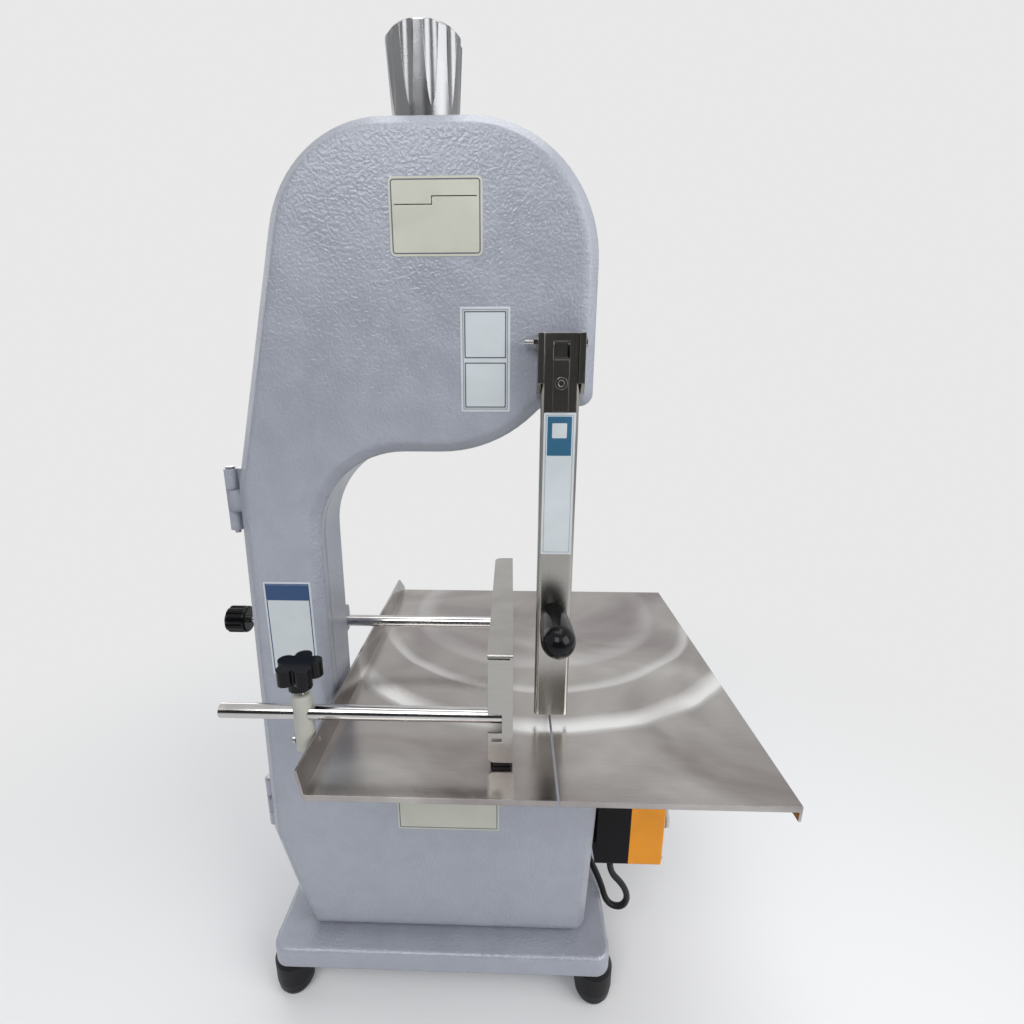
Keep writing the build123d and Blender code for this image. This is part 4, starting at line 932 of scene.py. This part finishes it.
# ---- blade ----
@dataclass
class ToothedBlade:
    """The endless band with its row of teeth on the front edge."""

    centre_x: float = -0.020
    upper_z: float = 0.7027
    lower_z: float = 0.20876
    radius: float = 0.10538
    thickness: float = 0.00056
    front: float = -0.0665
    back: float = -0.0505
    tooth: float = 0.0030
    tooth_pitch: float = 0.0062
    tooth_tip: float = 0.05
    tooth_foot: float = 0.7071
    tooth_root: float = 0.8
    teeth: int = 264
    arc_steps: int = 48

    def loop(self, radius: float) -> Outline:
        """The band's outline at a radius, as X and Z points."""
        points = []
        for centre, start in ((self.upper_z, 0.0), (self.lower_z, math.pi)):
            for step in range(self.arc_steps + 1):
                angle = start + math.pi * step / self.arc_steps
                points.append((self.centre_x + radius * math.cos(angle), centre + radius * math.sin(angle)))
        return points

    def build(self, steel: Material) -> None:
        """Makes the band and its teeth."""
        band = self.band()
        dress(band, steel)
        report(band, "machine")
        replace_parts(band, "saw_blade")
        teeth = self.tooth_row(steel)
        report(teeth, "machine")

    def band(self) -> Piece:
        """The band behind the teeth."""
        shape = bmesh.new()
        rings = []
        for radius in (self.radius - self.thickness / 2, self.radius + self.thickness / 2):
            for y in (self.front + self.tooth * self.tooth_root, self.back):
                rings.append([shape.verts.new((x, y, z)) for x, z in self.loop(radius)])
        inner_front, inner_back, outer_front, outer_back = rings
        count = len(inner_front)
        for low, high in (
            (outer_front, outer_back),
            (outer_back, inner_back),
            (inner_back, inner_front),
            (inner_front, outer_front),
        ):
            for here in range(count):
                after = (here + 1) % count
                shape.faces.new((low[here], low[after], high[after], high[here]))
        bmesh.ops.recalc_face_normals(shape, faces=shape.faces)
        return from_bmesh("blade_band", shape)

    def tooth_row(self, steel: Material) -> Piece:
        """The teeth, one wedge after another along the band."""
        shape = bmesh.new()
        points = [shape.verts.new((x, self.front + self.tooth, z)) for x, z in self.loop(self.radius)]
        for here in range(len(points)):
            shape.edges.new((points[here], points[(here + 1) % len(points)]))
        start = from_bmesh("tooth_path", shape)
        grove = Grove("tooth_row")
        grove.number("Teeth", self.teeth)
        grove.number("Depth", self.tooth)
        grove.number("Thickness", self.thickness)
        grove.number("Pitch", self.tooth_pitch)
        grove.open()
        curve = grove.add("MeshToCurve", Mesh=grove.source.outputs[0])
        evenly = grove.add("ResampleCurve", Curve=curve.outputs[0], Count=grove.size("Teeth"))
        wedge = grove.add(
            "MeshCone", Vertices=4, Radius_Top=self.tooth_tip, Radius_Bottom=self.tooth_foot, Depth=1.0
        )
        wedge.fill_type = "NGON"
        turned = grove.add("Transform", Geometry=wedge.outputs["Mesh"])
        turned.inputs["Rotation"].default_value = (0.0, 0.0, math.radians(45))
        laid = grove.add("Transform", Geometry=turned.outputs[0])
        laid.inputs["Rotation"].default_value = (math.radians(90), 0.0, 0.0)
        sized = grove.add("Transform", Geometry=laid.outputs[0])
        spans = grove.vector(grove.size("Thickness"), grove.size("Depth"), grove.size("Pitch"))
        grove.feed(sized.inputs["Scale"], spans)
        tangent = grove.add("InputTangent")
        aligned = grove.add("FunctionNodeAlignRotationToVector", Vector=tangent.outputs[0])
        aligned.axis = "Z"
        aligned.pivot_axis = "Y"
        placed = grove.add("InstanceOnPoints", Points=evenly.outputs[0], Instance=sized.outputs[0])
        grove.feed(placed.inputs["Rotation"], aligned.outputs[0])
        return grove.grow("blade_teeth", placed.outputs[0], start, steel)


# ---- handle ----
def box_of(node: str) -> tuple[Vector, Vector]:
    """The low and high corners of a solid's box."""
    corners = [Vector(corner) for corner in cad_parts[node].bound_box]
    low = Vector([min(corner[axis] for corner in corners) for axis in range(3)])
    high = Vector([max(corner[axis] for corner in corners) for axis in range(3)])
    return low, high


@dataclass
class BulbHandle:
    """The guard's glossy bulb, turned as one smooth skin with a domed tip."""

    node: str = "guard_handle"
    foot: float = 0.82
    belly_from: float = 0.66
    dome_from: float = 0.74
    rings: int = 36
    sides: int = 48

    def radius(self, share: float) -> float:
        """The skin's radius as a share of the widest, along the bulb from 0 to 1."""
        if share > self.dome_from:
            out = (share - self.dome_from) / (1 - self.dome_from)
            return math.sqrt(max(0.0, 1 - out * out))
        return self.foot + (1 - self.foot) * math.sin(math.pi / 2 * min(1.0, share / self.belly_from))

    def build(self, skin: Material) -> None:
        """Turns the bulb in the solid's place."""
        low, high = box_of(self.node)
        middle = (low + high) / 2
        widest = (high.x - low.x) / 2
        shape = bmesh.new()
        rings = []
        for ring in range(self.rings):
            share = math.sin(math.pi / 2 * ring / self.rings)
            radius = widest * self.radius(share)
            y = high.y + (low.y - high.y) * share
            turns = [2 * math.pi * side / self.sides for side in range(self.sides)]
            rings.append([
                shape.verts.new((middle.x + radius * math.cos(turn), y, middle.z + radius * math.sin(turn)))
                for turn in turns
            ])
        tip = shape.verts.new((middle.x, low.y, middle.z))
        shape.faces.new(rings[0])
        for here in range(self.sides):
            after = (here + 1) % self.sides
            for near, far in zip(rings, rings[1:]):
                shape.faces.new((near[here], far[here], far[after], near[after]))
            shape.faces.new((rings[-1][here], tip, rings[-1][after]))
        bmesh.ops.recalc_face_normals(shape, faces=shape.faces)
        bulb = from_bmesh("bulb_handle", shape, smooth=True)
        dress(bulb, skin)
        report(bulb, "guard")
        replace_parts(bulb, self.node)


# ---- threads ----
@dataclass
class Thread:
    """The thread on a length of round steel, as a stack of fine ridges."""

    name: str
    body: str
    start: Point
    axis: Axis
    length: float
    radius: float
    pitch: float
    ridge_share: float = 0.48
    sides: int = 28

    def build(self, steel: Material) -> None:
        """Makes the ridges and puts them on the rod."""
        start = mesh_piece("thread_start", bpy.data.meshes.new("thread_start"))
        grove = Grove(self.name)
        grove.number("Ridges", int(self.length / self.pitch))
        grove.number("Pitch", self.pitch)
        grove.number("Radius", self.radius)
        grove.open()
        ring = grove.add("CurvePrimitiveCircle", Resolution=self.sides, Radius=grove.size("Radius"))
        height = grove.math("MULTIPLY", grove.size("Pitch"), self.ridge_share)
        ridge = grove.add("CurvePrimitiveCircle", Resolution=4, Radius=height)
        hoop = grove.add("CurveToMesh", Curve=ring.outputs[0])
        grove.feed(hoop.inputs["Profile Curve"], ridge.outputs[0])
        line = grove.add("MeshLine", Count=grove.size("Ridges"))
        grove.feed(line.inputs["Offset"], grove.vector(z=grove.size("Pitch")))
        stack = grove.add("InstanceOnPoints", Points=line.outputs[0], Instance=hoop.outputs[0])
        piece = grove.grow(self.name, stack.outputs[0], start, steel)
        turn = Vector((0.0, 0.0, 1.0)).rotation_difference(Vector(self.axis.value)).to_matrix().to_4x4()
        piece.data.transform(Matrix.Translation(self.start) @ turn)
        report(piece, self.body)


THREADS = (
    Thread("clamp_thread", "fence_lock", (-0.1166, -0.1472, 0.3995), Axis.Z, 0.0055, 0.0030, 0.0005),
    Thread("holder_thread", "door", (0.05826, -0.0930, 0.668), Axis.X, 0.0066, 0.0019, 0.0004),
)


# ---- blank plates ----
@dataclass
class Field:
    """One coloured field of a blank plate, as shares of the plate's half sizes."""

    x: tuple[float, float]
    z: tuple[float, float]
    slot: int


@dataclass
class BlankPlate:
    """A plate with rounded corners, a border line and plain fields, and no lettering."""

    name: str
    body: str
    centre: Point
    half: tuple[float, float]
    radius: float
    thickness: float
    fields: list[Field]
    border: float = 0.0009
    inset: float = 0.0016
    least_radius: float = 0.0003
    film_share: float = 0.80
    line_seat: float = 0.70
    field_seat: float = 0.75
    field_base: float = 0.86
    field_step: float = 0.03
    field_corner: float = 0.0006
    field_turns: int = 3

    def build(self, films: list[Material]) -> Piece:
        """Makes the plate.

        Args:
            films: the base film, the border's film and one for each field slot.

        Returns:
            The plate.
        """
        shape = bmesh.new()
        outline = rounded_rectangle(self.half[0], self.half[1], self.radius)
        self.slab(shape, outline, 0.0, -self.thickness * self.film_share, 0)
        outer = self.shrunk(self.inset)
        inner = self.shrunk(self.inset + self.border)
        self.border_line(shape, outer, inner)
        for region in self.fields:
            self.patch(shape, region)
        bmesh.ops.transform(shape, matrix=Matrix.Translation(self.centre), verts=shape.verts)
        bmesh.ops.recalc_face_normals(shape, faces=shape.faces)
        plate = from_bmesh(self.name, shape)
        dress(plate, *films)
        return report(plate, self.body)

    def shrunk(self, by: float) -> Outline:
        """The plate's outline drawn in by a distance."""
        radius = max(self.radius - by, self.least_radius)
        return rounded_rectangle(self.half[0] - by, self.half[1] - by, radius)

    def slab(
        self, shape: bmesh.types.BMesh, outline: Outline, back: float, front: float, slot: int
    ) -> None:
        """Adds a closed slab.

        Args:
            shape: the mesh it goes in.
            outline: its X and Z points.
            back: its rear Y.
            front: its front Y.
            slot: its material slot.
        """
        rear = [shape.verts.new((x, back, z)) for x, z in outline]
        fore = [shape.verts.new((x, front, z)) for x, z in outline]
        faces = [shape.faces.new(rear), shape.faces.new(list(reversed(fore)))]
        for here in range(len(outline)):
            after = (here + 1) % len(outline)
            faces.append(shape.faces.new((rear[here], rear[after], fore[after], fore[here])))
        for face in faces:
            face.material_index = slot

    def border_line(self, shape: bmesh.types.BMesh, outer: Outline, inner: Outline) -> None:
        """Adds the thin border line, a little proud of the film."""
        low, high = -self.thickness * self.line_seat, -self.thickness
        rings = [
            [shape.verts.new((x, y, z)) for x, z in points]
            for points, y in ((outer, low), (outer, high), (inner, high), (inner, low))
        ]
        for first, second in zip(rings, rings[1:] + rings[:1]):
            for here in range(len(first)):
                after = (here + 1) % len(first)
                face = shape.faces.new((first[here], first[after], second[after], second[here]))
                face.material_index = 1

    def patch(self, shape: bmesh.types.BMesh, region: Field) -> None:
        """Adds one plain field, a little proud of the film."""
        half_x = (region.x[1] - region.x[0]) / 2 * self.half[0]
        half_z = (region.z[1] - region.z[0]) / 2 * self.half[1]
        middle_x = (region.x[1] + region.x[0]) / 2 * self.half[0]
        middle_z = (region.z[1] + region.z[0]) / 2 * self.half[1]
        outline = rounded_rectangle(half_x, half_z, self.field_corner, self.field_turns)
        points = [(x + middle_x, z + middle_z) for x, z in outline]
        front = -self.thickness * (self.field_base + self.field_step * region.slot)
        self.slab(shape, points, -self.thickness * self.field_seat, front, region.slot)


@dataclass
class Plates:
    """The blank plates on the door and the guard."""

    door_y: float = -0.0870
    guard_y: float = -0.1043
    thickness: float = 0.0004

    def build(
        self, cream: Material, pale: Material, blue: Material, teal: Material, grey: Material, dark: Material
    ) -> None:
        """Makes every plate.

        Args:
            cream: the cream film.
            pale: the pale film.
            blue: the blue film.
            teal: the teal film.
            grey: the mid grey film.
            dark: the dark film of the border lines.
        """
        whole = Field((-0.88, 0.88), (-0.84, 0.84), 2)
        rules = [Field((-0.88, -0.08), (0.30, 0.32), 3), Field((-0.08, 0.88), (0.50, 0.52), 3)]
        step = Field((-0.09, -0.07), (0.30, 0.52), 3)
        heading = [whole, *rules, step]
        title = self.plate("title_plate", (-0.00745, 0.75525), (0.03415, 0.02635), 0.004, heading)
        titled = title.build([cream, dark, cream, grey])
        boxes = []
        for low, high in ((0.04, 0.92), (-0.92, -0.04)):
            boxes.append(Field((-0.84, 0.84), (low, high), 2))
            boxes.append(Field((-0.79, 0.79), (low + 0.025, high - 0.025), 3))
        double = self.plate("double_plate", (0.0281, 0.655), (0.0191, 0.039), 0.001, boxes)
        double.build([pale, grey, dark, pale])
        header = [Field((-0.88, 0.88), (0.62, 0.94), 2), Field((-0.88, 0.88), (-0.94, 0.58), 3)]
        column = self.plate("column_plate", (-0.147, 0.4235), (0.021, 0.0455), 0.001, header)
        column.build([pale, blue, blue, pale])
        lower = self.plate("lower_plate", (-0.0105, 0.2295), (0.050, 0.0225), 0.001, [whole])
        lower.build([cream, dark, cream])
        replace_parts(titled, "door_plates")
        tall = [
            Field((-0.76, 0.76), (0.42, 0.95), 2),
            Field((-0.76, 0.76), (-0.95, 0.38), 3),
            Field((-0.46, 0.46), (0.66, 0.86), 4),
            Field((-0.46, 0.46), (-0.84, 0.28), 4),
        ]
        guard = BlankPlate(
            "guard_face_plate",
            "guard",
            (0.08538, self.guard_y, 0.560),
            (0.0122, 0.0565),
            0.0008,
            self.thickness,
            tall,
            border=0.0005,
            inset=0.0016,
        )
        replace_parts(guard.build([pale, grey, teal, pale, pale]), "guard_plate")

    def plate(
        self,
        name: str,
        at: tuple[float, float],
        half: tuple[float, float],
        radius: float,
        fields: list[Field],
    ) -> BlankPlate:
        """A plate on the door's face.

        Args:
            name: its name.
            at: its middle's X and Z.
            half: half its width and height.
            radius: its corners' radius.
            fields: its plain fields.

        Returns:
            The plate's description.
        """
        return BlankPlate(name, "door", (at[0], self.door_y, at[1]), half, radius, self.thickness, fields)


# ---- everything ----
def keep_size(name: str) -> dict[str, list[list[float]]]:
    """The whole object's box under a name, as plain lists."""
    low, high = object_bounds()
    return {name: [[float(part) for part in low], [float(part) for part in high]]}


def main() -> None:
    """Builds the studio and every piece, and dresses the solids."""
    logging.basicConfig(level=logging.INFO, format="%(message)s")
    sizes = keep_size("at_load")
    Studio().build()
    finishes = {finish: finish.material() for finish in SKINS}
    SwitchLead().build(SHEATH.material())
    for finish, nodes in SKINS.items():
        for node in nodes:
            dress(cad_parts[node], finishes[finish])
            log.info("%s: %s", node, finish.name)
    ToothedBlade().build(BLADE_STEEL.material())
    bright = finishes[BRIGHT_STEEL]
    for thread in THREADS:
        thread.build(bright)
    BulbHandle().build(finishes[GLOSS_BLACK])
    Plates().build(
        CREAM_FILM.material(),
        PALE_FILM.material(),
        BLUE_FILM.material(),
        TEAL_FILM.material(),
        GREY_FILM.material(),
        DARK_FILM.material(),
    )
    sizes.update(keep_size("at_finish"))


if __name__ == "__main__":
    main()
